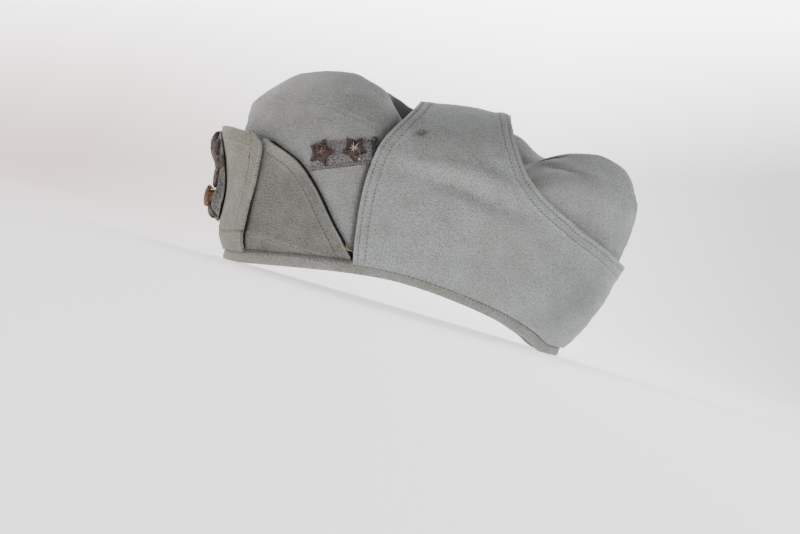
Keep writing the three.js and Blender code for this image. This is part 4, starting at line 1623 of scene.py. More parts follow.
@dataclass
class FrontFlap:
    """The front flap, folded up against the crown, with a tip on each side."""

    form: CapForm
    finish: Twill = FRONT_TWILL
    thread: Thread = KHAKI_THREAD
    border: Binding = Binding(width=6.9, proud=0.4, rows=(6.3,), groove=0.3, pucker=0.14)
    crossing: Binding = Binding(width=0.1, proud=0.0, rows=(0.0,), groove=0.3, pucker=0.1)
    seam: Table = table(
        "turn up",
        (30, 0.138), (34.5, 0.134), (42.1, 0.117), (48.8, 0.103), (56.8, 0.084), (64.2, 0.064),
        (70, 0.052),
    )
    under_peak: Binding = Binding(
        width=0.1, proud=0.0, rows=(), roll=0.7, roll_width=2.2, pucker=0.0,
    )
    rumple: Rumple = Rumple(height=0.9, across=30, upwards=17, seed=15.0)
    folds: tuple[Fold, ...] = (
        Fold(True, 42, 0.34, 84, 30, 13, 2.4), Fold(False, 44, 0.3, 80, 28, 12, 2.0),
        Fold(True, 42, 0.56, -30, 16, 7, 0.0, -0.75), Fold(False, 42, 0.56, -30, 16, 7, 0.0, -0.75),
    )
    stitch: Stitch = Stitch()
    line_width: float = 0.5
    line_fade: float = 0.6
    line_floor: float = 0.055
    line_dark: tuple[float, float] = (0.8, 0.3)
    covered: float = 26.0
    rounding: float = 0.6

    def build(self) -> None:
        """Makes the flap and its stitches."""
        self.panel()
        self.sewing()

    def top_edge(self) -> tuple[Array, Array]:
        """The flap's upper edge from tip to tip."""
        tip = self.form.turnup_top.keys[-1]
        turn = np.linspace(-tip, tip, 500)
        return turn, self.form.turnup_top.at("up", np.abs(turn))

    def seam_run(self, side: Side) -> tuple[Array, Array]:
        """The sewn line above the hem on one side."""
        turn = np.linspace(self.seam.keys[0], self.seam.keys[-1], 120)
        return turn * side.value, self.seam.at("up", turn)

    def cloth(self) -> Cloth:
        """The flap's cloth with its border and seams.

        Returns:
            The cloth.
        """
        lines = [Line(self.form.turnup(*self.top_edge()), self.border)]
        lines += [Line(self.form.turnup(*self.seam_run(side)), self.crossing) for side in Side]
        right, _, left = Peak(self.form).outline()
        lines += [Line(self.form.turnup(*run), self.under_peak) for run in (right, left)]
        return Cloth(
            self.form.turnup, lines, self.rumple, folds=self.folds, rim=self.form.rim, shade=self.under,
        )

    def under(self, turn: Array, up: Array) -> Array:
        """Painted shadow: how dark the flap is painted under the peak and just beyond the peak's edge.

        Args:
            turn: directions.
            up: shares up.

        Returns:
            The darkness of each place.
        """
        peak = Peak(self.form)
        floor, top = self.line_floor, peak.top.columns["up"][-1]
        share = np.clip((up - floor) / (top - floor), 0, 1)
        beyond = (np.abs(turn) - peak.side.at("turn", share)) * MM_PER_TURN
        dark = blend(*self.line_dark, ease((share - 0.05) / 0.9))
        return dark * ease((self.line_width - beyond) / self.line_fade)

    def panel(self) -> None:
        """The flap itself."""
        tip = self.form.turnup_top.keys[-1]
        # Columns are closest where the peak's side edge lies
        half = np.concatenate([
            np.linspace(0, 27, 20)[:-1], np.linspace(27, 38, 58)[:-1], np.linspace(38, tip, 52),
        ])
        turn = np.concatenate([-half[::-1], half[1:]])
        floor = above_hem(self.form, self.form.turnup, turn)
        top = self.form.turnup_top.at("up", np.abs(turn))
        up = blend(floor[None, :], top[None, :], spaced(66, 1.2, 2, 9)[:, None])
        piece = self.cloth().piece("front_flap_cloth", np.broadcast_to(turn, up.shape), up)
        thickened(piece, TURNUP_CLOTH, self.rounding)
        dress(piece, self.finish, "cloth", "front_flap")

    def sewing(self) -> None:
        """Stitches along the upper edge and the lower seam."""
        turn, up = inset(self.form.turnup, *self.top_edge(), -self.border.rows[0])
        keep = (up > above_hem(self.form, self.form.turnup, turn)) & (np.abs(turn) > self.covered)
        runs = pieces(turn, up, keep) + [self.seam_run(side) for side in Side]
        sew("front_flap_stitches", self.cloth(), runs, self.stitch, self.thread)


@dataclass
class Peak:
    """The stiff peak, folded up in front of the front flap."""

    form: CapForm
    finish: Twill = PEAK_TWILL
    thread: Thread = KHAKI_THREAD
    top: Table = table(
        "turn up", (0, 0.676), (12, 0.671), (22, 0.656), (31, 0.636), (36, 0.612),
    )
    side: Table = table(
        "share turn",
        (0, 29.9), (0.1, 30.2), (0.24, 31), (0.42, 31), (0.58, 32.4), (0.78, 34.0), (0.9, 34.9),
        (0.96, 34.8), (1, 32.6),
    )
    border: Binding = Binding(width=7.4, proud=0.3, rows=(6.9,), groove=0.2, pucker=0.08)
    # Its dark band paints the shadow under the seam's step
    crossing: Binding = Binding(
        width=0.1, proud=0.0, rows=(0.0,), groove=0.6, dark=0.5, dark_width=0.9, pucker=0.12,
    )
    seam_up: float = 0.148
    sewn_to: float = 29.5
    grooved_to: float = 32.5
    rumple: Rumple = Rumple(height=0.6, across=32, upwards=24, seed=21.0)
    stitch: Stitch = Stitch(proud=0.1)
    hole: float = 0.6
    edge: float = 8.0
    rounding: float = 0.6

    def build(self) -> None:
        """Makes the peak and its stitches."""
        self.panel()
        self.sewing()

    def at(self, across: Array, upwards: Array) -> tuple[Array, Array]:
        """Places on the peak by its shares across and upwards, of one shape.

        Args:
            across: shares across.
            upwards: shares upwards.

        Returns:
            Directions and shares up.
        """
        edge = self.side.at("turn", upwards)
        turn = blend(-edge, edge, across)
        top = self.top.at("up", np.abs(turn))
        floor = above_hem(self.form, self.form.peak, turn.ravel()).reshape(turn.shape)
        return turn, blend(floor, top, upwards)

    def outline(self) -> list[tuple[Array, Array]]:
        """The right side upwards, the top, and the left side downwards.

        Returns:
            Directions and shares up of each run.
        """
        share = np.linspace(0, 1, 120)
        none, whole = 0 * share, 0 * share + 1
        return [self.at(none, share), self.at(share, whole), self.at(whole, share[::-1])]

    def cloth(self) -> Cloth:
        """The peak's cloth with its border and seam.

        Returns:
            The cloth.
        """
        runs = self.outline()
        edge = (np.concatenate([run[0] for run in runs]), np.concatenate([run[1] for run in runs]))
        lines = [
            Line(self.form.peak(*edge), self.border),
            Line(self.form.peak(*self.seam_run(self.grooved_to)), self.crossing),
        ]
        return Cloth(self.form.peak, lines, self.rumple, rim=self.form.rim)

    def seam_run(self, reach: float) -> tuple[Array, Array]:
        """The sewn line above the hem, as far as a direction on each side."""
        turn = np.linspace(-reach, reach, 160)
        return turn, np.full(len(turn), self.seam_up)

    def panel(self) -> None:
        """The peak itself."""
        across, upwards = spaced(122, 1.6, self.edge, self.edge), spaced(66, 1.4, 2, self.edge)
        columns, rows = np.meshgrid(across, upwards)
        turn, up = self.at(columns, rows)
        piece = self.cloth().piece("peak_cloth", turn, up)
        thickened(piece, PEAK_CLOTH, self.rounding)
        dress(piece, self.finish, "cloth", "peak")

    def sewing(self) -> None:
        """A row of stitches inside the edge, and one along the seam."""
        row, slack = self.border.rows[0], 0.1
        runs = [self.seam_run(self.sewn_to)]
        lines = [Line(self.form.peak(*run), self.border) for run in self.outline()]
        for run in self.outline():
            turn, up = inset(self.form.peak, *run, -row)
            points = self.form.peak(turn, up)
            keep = up > above_hem(self.form, self.form.peak, turn)
            for line in lines:
                keep &= line.near(points)[0] > row - slack
            runs += pieces(turn, up, keep)
        sew("peak_stitches", self.cloth(), runs, self.stitch, self.thread, self.hole)


@dataclass
class RankStrip:
    """The strip of grey wool on the left side, with its two embroidered stars."""

    form: CapForm
    finish: Twill = STRIP_WOOL
    y: float = -46.2
    z: float = 78.6
    turn: float = 16.2
    corners: tuple[tuple[float, float], ...] = ((-22.0, -10.6), (14.6, -6.6), (17.4, 7.6), (-20.2, 5.8))
    stars: tuple[tuple[str, float, float, float], ...] = (
        ("front", -60.4, 74.0, 1.0), ("rear", -42.9, 81.0, -20.0),
    )
    arms: dict[str, tuple[float, ...]] = field(default_factory=lambda: {
        "front": (0.97, 0.82, 0.97, 1.02, 1.0), "rear": (0.86, 0.78, 0.88, 0.9, 0.8),
    })
    reach: float = 7.7
    notch: float = 4.3
    star_height: float = 1.3
    points: int = 5
    strand: float = 0.33
    start: tuple[float, float] = (63.0, 0.62)
    long: float = 34.0
    wide: float = 14.0
    rounding: float = 0.2
    rumple: Rumple = Rumple(height=0.55, across=7, upwards=5, seed=31)
    frays: tuple[tuple[float, float, float], ...] = (
        (1.5, 0.9, 15.0), (-0.6, 1.4, 11.0), (2.8, 0.7, 8.0), (0.4, 1.8, 13.0), (4.1, 2.3, 9.0),
    )

    def build(self) -> None:
        """Makes the strip, its sewing, the loose threads and the stars."""
        self.strip()
        self.sewing()
        for name, y, z, turn in self.stars:
            self.star(name, y, z, turn)

    def tilted(self, y: float, z: float, turn: float, a: Array, b: Array) -> tuple[Array, Array]:
        """Y and height of places given along and across a tilted direction."""
        c, s = math.cos(math.radians(turn)), math.sin(math.radians(turn))
        return y + a * c - b * s, z + a * s + b * c

    def on_strip(
        self, a: Array, b: Array, height: Array | float, middle: tuple[float, float, float],
    ) -> Array:
        """Points at places of a tilted flat pattern, lifted off the strip's face."""
        y, z = self.tilted(*middle, a, b)
        return lifted(self.form.strip, *place_with(self.form.strip, 1, y, z, self.start), height)

    def laid(self, paths: list[Array], middle: tuple[float, float, float]) -> list[Array]:
        """Thread paths of a tilted flat pattern, laid on the strip."""
        return placed(paths, lambda a, b, height: self.on_strip(a, b, height, middle))

    def flat(self, i: Array, j: Array) -> tuple[Array, Array]:
        """Places along and across the strip by their shares.

        Args:
            i: shares along.
            j: shares across.

        Returns:
            Millimetres along and across.
        """
        corner = np.array(self.corners)
        low = blend(corner[0], corner[1], i[..., None])
        high = blend(corner[3], corner[2], i[..., None])
        place = blend(low, high, j[..., None])
        return place[..., 0], place[..., 1]

    def strip(self) -> None:
        """The wool strip, with uneven cut ends."""
        i, j = np.meshgrid(np.linspace(0, 1, 74), np.linspace(0, 1, 30))
        a, b = self.flat(i, j)
        ragged = np.array([noise.noise(Vector((0.0, place * 9.0, 3.0))) for place in j.ravel()])
        ragged, torn = ragged.reshape(j.shape), 0.12
        a = a + ragged * 1.6 * np.exp(-((i / torn) ** 2)) + ragged * np.exp(-(((1 - i) / torn) ** 2))
        frill = np.array([noise.noise(Vector((place * 14.0, 7.0, 0.0))) for place in i.ravel()])
        b = b + frill.reshape(i.shape) * 0.7 * (2 * j - 1) ** 6
        a, b = a.ravel(), b.ravel()
        edge = np.minimum(np.minimum(i, 1 - i) * self.long, np.minimum(j, 1 - j) * self.wide).ravel()
        height = self.rumple.at(np.column_stack([a, b, 0 * b]))
        height = height * ease(edge / 2.5) - 0.2 * np.exp(-((edge / 0.8) ** 2))
        points = self.on_strip(a, b, height, (self.y, self.z, self.turn))
        lightening = 0.5 * np.exp(-((edge / 0.5) ** 2))
        grime = 0.25 * np.exp(-(((edge - 1.4) / 0.6) ** 2))
        piece = bent_grid("rank_strip_wool", points.reshape(*i.shape, 3), {"lightening": lightening, "grime": grime})
        thickened(piece, STRIP_CLOTH, self.rounding)
        dress(piece, self.finish, "strip_cloth", "rank_strip")

    def sewing(self) -> None:
        """Small stitches over the edges, the frayed thread at the rear end, and a dark thread that paints
        the shadow under the lower edge.
        """
        middle = (self.y, self.z, self.turn)
        over, lift = np.array([-0.05, -0.02, 0.02, 0.05]), [-0.1, 0.3, 0.3, -0.1]
        tiny = []
        for j in (0.03, 0.97):
            for i in np.arange(0.04, 0.99, 0.052):
                tiny.append(np.column_stack([*self.flat(np.full(len(over), i), j + over), lift]))
        round_loop = np.linspace(-2.6, 2.9, 14)
        loop = np.column_stack([
            5.6 + 1.6 * np.cos(round_loop), -1.2 + 2.6 * np.sin(round_loop), 2.1 + 0 * round_loop,
        ])
        knot = np.linspace(0, 1, 5)
        bead = np.column_stack([6.2 + knot * 0.9, -4.4 - knot * 0.5, 0.9 + np.sin(knot * 3.14) * 0.5])
        for name, paths, radius, taper, finish, slot in (
            ("loop", [loop], 0.42, 0.7, BADGE_THREAD, "strip_cloth"),
            ("pale_knot", [bead], 0.42, 0.7, PALE_THREAD, "strip_cloth"),
            ("stitches", tiny, 0.17, 0.55, GREY_THREAD, "strip_cloth"),
            ("frayed_and_edge_shadow_thread", self.frayed(), 0.2, 0.55, BLACK_THREAD, "dark_thread"),
        ):
            piece = threads(f"rank_strip_{name}", self.laid(paths, middle), radius, taper)
            dress(piece, finish, slot)

    def frayed(self) -> list[Array]:
        """Wavy dark threads that hang at the rear end, and one under the lower edge that paints the
        edge's shadow.

        Returns:
            Along, across and height over the strip of each thread's points.
        """
        run = np.linspace(0, 1, 14)
        dark = []
        for turn, wave, length in self.frays:
            a = 14.9 + 1.6 * np.sin(run * 7 * wave + turn) + run * 0.4
            b = 8.4 - run * length + 0.4 * np.sin(run * 11)
            dark.append(np.column_stack([a, b, 0.5 + 0.4 * np.sin(run * 9 + turn)]))
        # A black thread just under the lower edge paints the edge's shadow
        under = np.linspace(0.02, 0.97, 60)
        a, b = self.flat(under, 0.006 * np.sin(under * 70))
        dark.append(np.column_stack([a, b, np.full(len(a), -0.1)]))
        return dark

    def rays(self, reaches: tuple[float, ...]) -> list[Array]:
        """Threads of one star: along, across and height over the strip of each thread's points.

        Args:
            reaches: each arm's share of the full reach.

        Returns:
            One path for each thread.
        """
        rays = []
        for arm, reach in enumerate(reaches):
            ahead = math.radians(90 + 360 / self.points * arm)
            for side in (-1, 1):
                aside = ahead + side * math.pi / self.points
                tip = np.array([math.cos(ahead), math.sin(ahead)]) * self.reach * reach
                pit = np.array([math.cos(aside), math.sin(aside)]) * self.notch
                for share in np.linspace(0.04, 0.97, 10):
                    ridge = tip * share
                    edge = blend(pit, tip, max(0.0, share * 1.12 - 0.12))
                    run = np.linspace(0, 1, 5)[:, None]
                    flat = blend(ridge, edge, run)
                    crown = self.star_height * (1 - 0.42 * share)
                    height = crown * np.cos(run[:, 0] * 1.25) + 0.28 + SEAM_GAP
                    rays.append(np.column_stack([flat, height]))
        return rays

    def star(self, name: str, y: float, z: float, turn: float) -> None:
        """One padded star, covered with threads from its ridges to its edges, and pale threads from its
        middle whose colour partly paints the glint of its metal threads.

        Args:
            name: the star's name.
            y: its middle's Y.
            z: its middle's Z.
            turn: its tilt.
        """
        body = self.star_body(f"rank_star_{name}_pad")
        places = np.empty(len(body.data.vertices) * 3)
        body.data.vertices.foreach_get("co", places)
        flat = places.reshape(-1, 3) / MM
        placed = self.on_strip(flat[:, 0], flat[:, 1], flat[:, 2] + SEAM_GAP, (y, z, turn))
        body.data.vertices.foreach_set("co", (placed * MM).ravel())
        dress(body, STAR_PADDING, "dark_thread", f"rank_star_{name}")
        loose = np.linspace(0.4, 1.5, 5)[:, None]
        rays = self.rays(self.arms[name])
        wild = np.array([noise.noise_vector(Vector((k * 1.7, y, 0.0))) for k in range(len(rays))])
        paths = self.laid([ray + loose * wild[k] for k, ray in enumerate(rays)], (y, z, turn))
        dress(threads(f"rank_star_{name}_threads", paths, self.strand, 0.8), WINE_THREAD, "dark_thread")
        # Pale threads from the middle: partly real pale threads, partly a painted glint of the star's
        # metal threads
        pale = []
        bright = name == "rear"
        for k in range(9 if bright else 6):
            angle = 0.5 + k * 2.4
            run = np.linspace(0.05, 1, 5) * (2.2 if k % 3 else 3.6) * (1.0 if bright else 0.8)
            a, b = np.cos(angle) * run, np.sin(angle) * run
            pale.append(np.column_stack([a, b, SEAM_GAP + 2.2 - 0.1 * run]))
        pale = self.laid(pale, (y, z, turn))
        finish = PALE_THREAD if bright else FADED_GLINT_THREAD
        dress(threads(f"rank_star_{name}_pale_glint_threads", pale, 0.14, 0.4), finish, "dark_thread")

    def star_body(self, name: str) -> bpy.types.Object:
        """The star's padding, flat on the plane Z 0.

        Args:
            name: the object's name.

        Returns:
            The mesh object.
        """
        arm, near = 360 / self.points, 10
        bpy.ops.object.select_all(action="DESELECT")
        bpy.ops.mesh.primitive_circle_add(
            vertices=2 * self.points, radius=self.reach * MM, fill_type="NGON",
        )
        piece = named(name)
        angles = [math.degrees(math.atan2(v.co.y, v.co.x)) for v in piece.data.vertices]
        pits = [near < (angle - 90) % arm < arm - near for angle in angles]
        choose(piece.data.vertices, pits, "VERT")
        shrink = self.notch / self.reach
        bpy.ops.transform.resize(value=(shrink, shrink, 1))
        bpy.ops.mesh.select_all(action="SELECT")
        bpy.ops.mesh.extrude_region_move(TRANSFORM_OT_translate={"value": (0, 0, 0.45 * MM)})
        bpy.ops.mesh.poke(offset=(self.star_height - 0.3) * MM)
        bpy.ops.mesh.select_all(action="SELECT")
        bpy.ops.mesh.normals_make_consistent(inside=False)
        bpy.ops.object.mode_set(mode="OBJECT")
        return piece


@dataclass(frozen=True)
class Leaf:
    """One embroidered leaf in the plain front view: its foot, direction, size and dome."""

    x: float
    z: float
    lean: float
    length: float
    width: float
    dome: float = 1.3
    base: float = 0.5

    def threads(self, pitch: float) -> list[Array]:
        """Slanting satin threads from the midrib to both edges, as x, z and height.

        Args:
            pitch: spacing of the threads.

        Returns:
            One path for each thread.
        """
        lean = math.radians(self.lean)
        ahead = np.array([math.sin(lean), math.cos(lean)])
        aside = np.array([math.cos(lean), -math.sin(lean)])
        run = np.linspace(0, 1, 5)
        paths = []
        for side in (-1, 1):
            for along in np.arange(pitch, self.length * 0.98, pitch):
                share = along / self.length
                half = self.width / 2 * math.sin(math.pi * min(1.0, share ** 0.8)) ** 0.8
                reach = np.minimum(along + run * half * 0.75, self.length)
                flat = ahead * reach[:, None] + aside * (side * run * half)[:, None]
                height = self.base + self.dome * math.sin(math.pi * share) ** 0.5 * np.cos(run * 1.35)
                paths.append(np.column_stack([self.x + flat[:, 0], self.z + flat[:, 1], height]))
        return paths


@dataclass
class Insignia:
    """The insignia at the front: a cloth backing, an embroidered spray and a coiled boss."""

    form: CapForm
    start: tuple[float, float] = (0.0, 0.4)
    backing_z: float = 47.0
    backing: Table = table(
        "angle reach", (-90, 27), (-60, 23), (-30, 16.5), (0, 13.5), (35, 17), (60, 23.5), (90, 25.5),
    )
    boss_z: float = 34.4
    boss_radius: float = 6.5
    boss_height: float = 5.4
    boss_profile: Table = table(
        "share radius", (0, 0.7), (0.3, 0.82), (0.5, 1.02), (0.68, 1.04), (0.84, 0.86), (0.94, 0.5),
        (1, 0.08),
    )
    coils: int = 13
    coil_steps: int = 26
    strand: float = 0.3
    rumple: Rumple = Rumple(height=0.9, across=9, upwards=9, seed=41)
    lift: Table = table(
        "z rise", (18, 4.4), (24, 5.4), (30, 5.9), (36, 5.5), (42, 4.0), (50, 2.6), (60, 1.9), (73, 1.4),
    )
    upper: tuple[Leaf, ...] = (
        Leaf(0, 54, 0, 18.5, 7.5, 3.9), Leaf(-1.5, 53, -34, 17.5, 7.5, 2.9),
        Leaf(1.5, 53, 34, 17.5, 7.5, 2.9), Leaf(-2.5, 51, -62, 15.5, 7.5, 1.8),
        Leaf(2.5, 51, 62, 15.5, 7.5, 1.8),
    )
    middle: tuple[Leaf, ...] = (
        Leaf(-1, 42, -48, 9.0, 5.5, 1.8, 0.8), Leaf(1, 42, 48, 9.0, 5.5, 1.8, 0.8),
        Leaf(0, 40, 0, 14, 7.5, 2.5, 0.8),
    )
    lower: tuple[Leaf, ...] = (
        Leaf(-2, 31, -150, 9.5, 5.0, 1.0), Leaf(2, 31, 150, 9.5, 5.0, 1.0),
        Leaf(0, 30, 180, 8.5, 5, 1.2),
    )

    def build(self) -> None:
        """Makes the backing, the three groups of leaves and the boss."""
        self.patch()
        for name, leaves in (("spray", self.upper), ("collar", self.middle), ("base", self.lower)):
            self.leaves(f"badge_{name}", leaves)
        self.knob()

    def on_peak(self, x: Array, z: Array, height: Array | float) -> Array:
        """Points at places of the plain front view, lifted off the peak."""
        return lifted(self.form.peak, *place_with(self.form.peak, 0, x, z, self.start), height)

    def pad(self, x: Array, z: Array, share: Array | None = None) -> Array:
        """How far the backing bulges off the peak at places of the plain front view.

        Args:
            x: X of the places.
            z: their heights.
            share: their shares of the way to the rim.

        Returns:
            The bulge at each place.
        """
        if share is None:
            angle = np.degrees(np.arctan2(z - self.backing_z, np.abs(x)))
            share = np.hypot(x, z - self.backing_z) / self.backing.at("reach", angle)
        return self.lift.at("rise", z) * (1 - np.clip(share, 0, 1) ** 12)

    def patch(self) -> None:
        """The backing: a disc of cloth with an uneven cut edge."""
        rings = 22
        angles = np.linspace(-90, 270, 145)
        c, s = np.cos(np.radians(angles)), np.sin(np.radians(angles))
        folded = np.where(angles > 90, 180 - angles, angles)
        uneven = np.array([noise.noise(Vector((x, z, 5.0))) for x, z in zip(c * 3, s * 3)])
        reach = self.backing.at("reach", folded) * (1 + 0.05 * uneven)
        share = np.linspace(1, 0.0, rings)[:, None]
        x = (share * reach[None, :] * c[None, :]).ravel()
        z = (self.backing_z + share * reach[None, :] * s[None, :]).ravel()
        share = np.repeat(share[:, 0], len(angles))
        wave = self.rumple.at(np.column_stack([x, z, 0 * x]))
        height = SEAM_GAP + BADGE_CLOTH + wave * 0.5 + share ** 8 * (0.9 * wave - 0.5)
        height = height + self.pad(x, z, share)
        points = self.on_peak(x, z, np.maximum(height, BADGE_CLOTH))
        edge = np.exp(-(((1 - share) * rings / 1.2) ** 2))
        marks = {"lightening": 0.6 * edge, "grime": 0.2 * (1 - edge)}
        piece = bent_grid("badge_backing_cloth", points.reshape(rings, len(angles), 3), marks)
        merged(piece, 0.01)
        thickened(piece, BADGE_CLOTH, 0.25)
        dress(piece, PATCH_WOOL, "cloth", "badge_backing")

    def leaves(self, name: str, leaves: tuple[Leaf, ...]) -> None:
        """A group of leaves as satin stitch over padding.

        Args:
            name: the solid's name.
            leaves: its leaves.
        """
        flat = []
        for place, leaf in enumerate(leaves):
            for share in (1.0, 0.55, 0.15):
                for count, path in enumerate(leaf.threads(self.strand * 1.75)):
                    wild = noise.noise_vector(Vector((count * 1.3, place * 5.0, share)))
                    flat.append(path * np.array([1, 1, share]) + 0.45 * np.array(wild))
        ground = SEAM_GAP + BADGE_CLOTH
        paths = placed(flat, lambda x, z, height: self.on_peak(x, z, height + ground + self.pad(x, z)))
        dress(threads(f"{name}_leaves", paths, self.strand, 0.8), BADGE_THREAD, "dark_thread", name)

    def knob(self) -> None:
        """The boss: a domed core wound with metal thread, and the pin through it."""
        x, z = np.zeros(1), np.array([self.boss_z])
        ground = SEAM_GAP + BADGE_CLOTH + float(self.pad(x, z)[0]) - 0.3
        foot = self.on_peak(x, z, ground)[0]
        out = facing(self.form.peak, *place_with(self.form.peak, 0, x, z, self.start))[0]
        side = unit(np.cross([0.0, 0.0, 1.0], out))
        above = np.cross(out, side)

        def placed_on(height: Array, aside: Array, upwards: Array) -> Array:
            """Points at a height over the foot, and at places along its face."""
            return foot + out * height[:, None] + side * aside[:, None] + above * upwards[:, None]

        share = np.linspace(0, 1, self.coils * self.coil_steps)
        angle = share * self.coils * 2 * math.pi
        wobble = 1 + 0.03 * np.sin(angle * 3.3)
        radius = self.boss_profile.at("radius", share) * (self.boss_radius - 0.5) * wobble
        height = share * self.boss_height * 0.97 + 0.3
        wound = placed_on(height, radius * np.cos(angle), radius * np.sin(angle))
        pin = placed_on(np.linspace(2.8, -4.4, 6), np.linspace(4.6, 8.5, 6), np.linspace(3.6, 4.6, 6))
        bpy.ops.object.select_all(action="DESELECT")
        bpy.ops.mesh.primitive_uv_sphere_add(segments=28, ring_count=16, radius=1)
        core = named("badge_boss_core")
        places = np.empty(len(core.data.vertices) * 3)
        core.data.vertices.foreach_get("co", places)
        ball = places.reshape(-1, 3)
        inner = self.boss_radius - 0.8
        rise = (ball[:, 2] + 1) / 2
        fit = self.boss_profile.at("radius", rise) * inner
        reach = np.minimum(fit, np.linalg.norm(ball[:, :2], axis=1) * inner * 3)
        flat = unit(ball[:, :2]) * reach[:, None]
        shaped = placed_on(rise * self.boss_height * 0.97, flat[:, 0], flat[:, 1])
        core.data.vertices.foreach_set("co", (shaped * MM).ravel())
        smoothed(core)
        dress(core, GILT_THREAD, "metal_thread", "badge_boss")
        dress(threads("badge_boss_winding", [wound], 0.42), GILT_THREAD, "metal_thread")
        dress(threads("badge_boss_pin", [pin], 0.4), GOLD_THREAD, "metal_thread")


@dataclass
class SmallMarks:
    """Bar tacks where the flaps meet, and a darn."""

    form: CapForm
    gold: tuple[tuple[tuple[float, float], ...], ...] = (
        ((71.3, 0.134), (72.6, 0.124), (74.2, 0.118)), ((71.6, 0.15), (72.4, 0.134), (73.0, 0.118)),
    )
    tack_heights: tuple[float, ...] = (0.35, 0.75, 0.4)
    darn_turn: float = 81.8
    darn_up: float = 0.819

    def build(self) -> None:
        """Makes the marks."""
        for side in Side:
            paths = []
            for path in self.gold:
                turn = np.array([place[0] for place in path]) * side.value
                up = np.array([place[1] for place in path])
                paths.append(lifted(self.form.flap, turn, up, np.array(self.tack_heights)))
            dress(threads(f"bar_tack_{side.name.lower()}", paths, 0.17), GOLD_THREAD, "cloth")
        run = np.linspace(-1, 1, 6)
        turn, up = self.darn_turn + run * 0.3, self.darn_up + run * 0.008
        points = lifted(self.form.flap, turn, up, 0.45 - 0.3 * run ** 2)
        beside = points + np.array([0.1, 0.5, 0.1])
        dress(threads("flap_darn", [points, beside], 0.24), KHAKI_THREAD, "cloth")


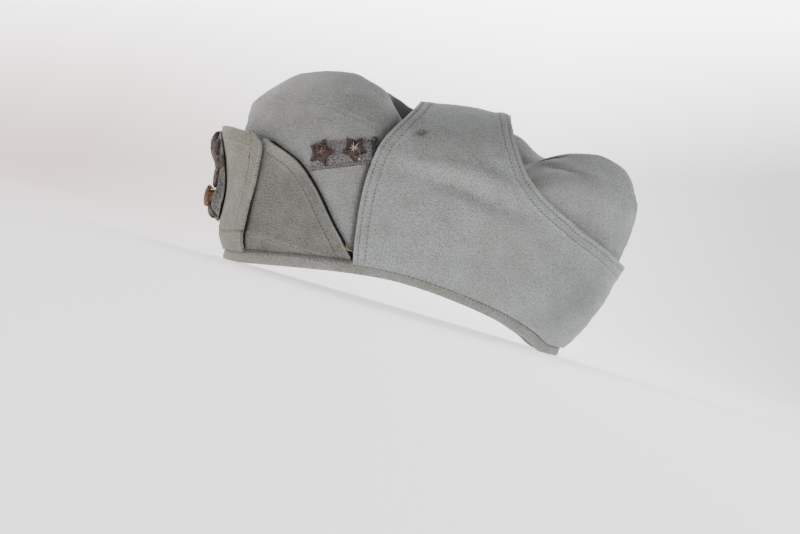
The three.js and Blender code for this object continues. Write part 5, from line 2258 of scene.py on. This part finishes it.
@dataclass
class Studio:
    """The pale seamless sweep, the soft lights and the camera."""

    distance: float = 1.3
    across: float = 0.00013
    height: float = 0.02444
    roll: float = 16.24
    lens: float = 98.48
    sensor: float = 36.0
    paper: Colour = (0.695, 0.695, 0.71)
    shaded_warm_paper: Colour = (0.42, 0.35, 0.325)
    shaded_side_paper: Colour = (0.46, 0.45, 0.475)
    glow: float = 2.05
    wash: float = 7.0
    half_width: float = 9.0
    front: float = 9.0
    back: float = -2.6
    wall_height: float = 4.0
    curve: float = 1.6
    room: Colour = (0.93, 0.94, 0.96)
    room_strength: float = 0.17
    aim: tuple[float, float, float] = (0.0, 0.0, 0.06)

    def build(self) -> None:
        """Makes the sweep, the lights and the camera."""
        self.sweep()
        self.lights()
        self.camera()

    def sweep(self) -> None:
        """Floor and back wall in one sheet with a large curve between them."""
        near = 0.01
        bpy.ops.object.select_all(action="DESELECT")
        bpy.ops.mesh.primitive_plane_add(size=1)
        piece = named("studio_sweep")
        mesh = piece.data
        for vertex in mesh.vertices:
            x = self.front if vertex.co.x > 0 else self.back
            vertex.co = (x, self.half_width * (1 if vertex.co.y > 0 else -1), 0)
        ends = [[mesh.vertices[index].co.x for index in edge.vertices] for edge in mesh.edges]
        choose(mesh.edges, [max(pair) < self.back + near for pair in ends], "EDGE")
        bpy.ops.mesh.extrude_region_move(TRANSFORM_OT_translate={"value": (0, 0, self.wall_height)})
        bpy.ops.object.mode_set(mode="OBJECT")
        ends = [[mesh.vertices[index].co for index in edge.vertices] for edge in mesh.edges]
        corner = [
            all(abs(end.x - self.back) < near and abs(end.z) < near for end in pair) for pair in ends
        ]
        choose(mesh.edges, corner, "EDGE")
        bpy.ops.mesh.bevel(offset=self.curve, segments=24, affect="EDGES")
        bpy.ops.object.mode_set(mode="OBJECT")
        smoothed(piece)
        mesh.materials.append(self.paper_finish())

    def paper_finish(self) -> bpy.types.Material:
        """Glowing paper, painted darker and warmer ahead of the cap and darker and cooler behind it as
        painted shade, with painted light in a stronger glow above it.

        Returns:
            The material.
        """
        n = Nodes("studio_paper")
        place = n.add("TexCoord").outputs["Object"]
        x, y, z = n.add("SeparateXYZ", None, Vector=place).outputs[:3]
        # Stronger glow on the wall above the cap is painted light; the darker paper to both sides is
        # painted shade
        upwards = n.math("MULTIPLY_ADD", y, -0.28, n.math("MULTIPLY", z, 0.96))
        far, high = n.between(x, -2.3, -0.9, 1.0, 0.0), n.between(upwards, 0.15, 0.44, 0.0, 1.0)
        wash = n.math("MULTIPLY", far, high)
        glow = n.math("MULTIPLY_ADD", wash, self.wash, self.glow)
        tone = n.mix(n.between(y, -0.42, 0.12, 0.0, 1.0), paint(self.shaded_warm_paper), paint(self.paper))
        tone = n.mix(n.between(y, 0.15, 0.5, 0.0, 1.0), tone, paint(self.shaded_side_paper))
        tone = n.mix(wash, tone, paint(self.paper))
        return n.finish(
            Base_Color=tone, Roughness=0.95, Specular_IOR_Level=0.1, Emission_Color=tone,
            Emission_Strength=glow,
        )

    def lamp(
        self, name: str, place: tuple[float, float, float], size: float, watts: float, tint: Colour,
    ) -> None:
        """Adds a square soft light that faces the cap.

        Args:
            name: the lamp's name.
            place: its place.
            size: its width.
            watts: its power.
            tint: its colour.
        """
        bpy.ops.object.light_add(type="AREA", location=place)
        lamp = bpy.context.object
        lamp.name = name
        lamp.data.size = size
        lamp.data.energy = watts
        lamp.data.color = tint
        lamp.rotation_euler = (Vector(self.aim) - Vector(place)).to_track_quat("-Z", "Y").to_euler()

    def lights(self) -> None:
        """Three large soft lights, beside, before and behind the cap, and a pale room."""
        self.lamp("soft_key", (1.9, 0.5, 0.32), 0.8, 11.5, (1.0, 0.99, 0.975))
        self.lamp("soft_front", (1.2, -1.6, 0.5), 1.0, 6.0, (1.0, 0.99, 0.97))
        self.lamp("soft_rear", (0.9, 1.7, 0.5), 1.0, 3.0, (0.98, 0.99, 1.0))
        world = bpy.data.worlds.new("pale_room")
        world.use_nodes = True
        colour, strength = world.node_tree.nodes["Background"].inputs[:2]
        colour.default_value = paint(self.room)
        strength.default_value = self.room_strength
        bpy.context.scene.world = world

    def camera(self) -> None:
        """The camera, square to the cap's left side and rolled as the photograph was."""
        bpy.ops.object.camera_add(location=(self.distance, self.across, self.height))
        camera = bpy.context.object
        camera.name = "camera"
        c, s = math.cos(math.radians(self.roll)), math.sin(math.radians(self.roll))
        turned = Matrix(((0, 0, 1), (c, -s, 0), (s, c, 0)))
        camera.rotation_euler = turned.to_euler()
        camera.data.lens = self.lens
        camera.data.sensor_width = self.sensor
        camera.data.clip_end = 50
        bpy.context.scene.camera = camera


def main() -> None:
    """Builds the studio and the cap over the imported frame."""
    logging.basicConfig(level=logging.INFO, format="%(message)s")
    noise.seed_set(SEED)
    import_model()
    Studio().build()
    form = CapForm()
    Crown(form).build()
    Hem(form).build()
    NeckFlap(form).build()
    FrontFlap(form).build()
    Peak(form).build()
    RankStrip(form).build()
    Insignia(form).build()
    SmallMarks(form).build()


if __name__ == "__main__":
    main()
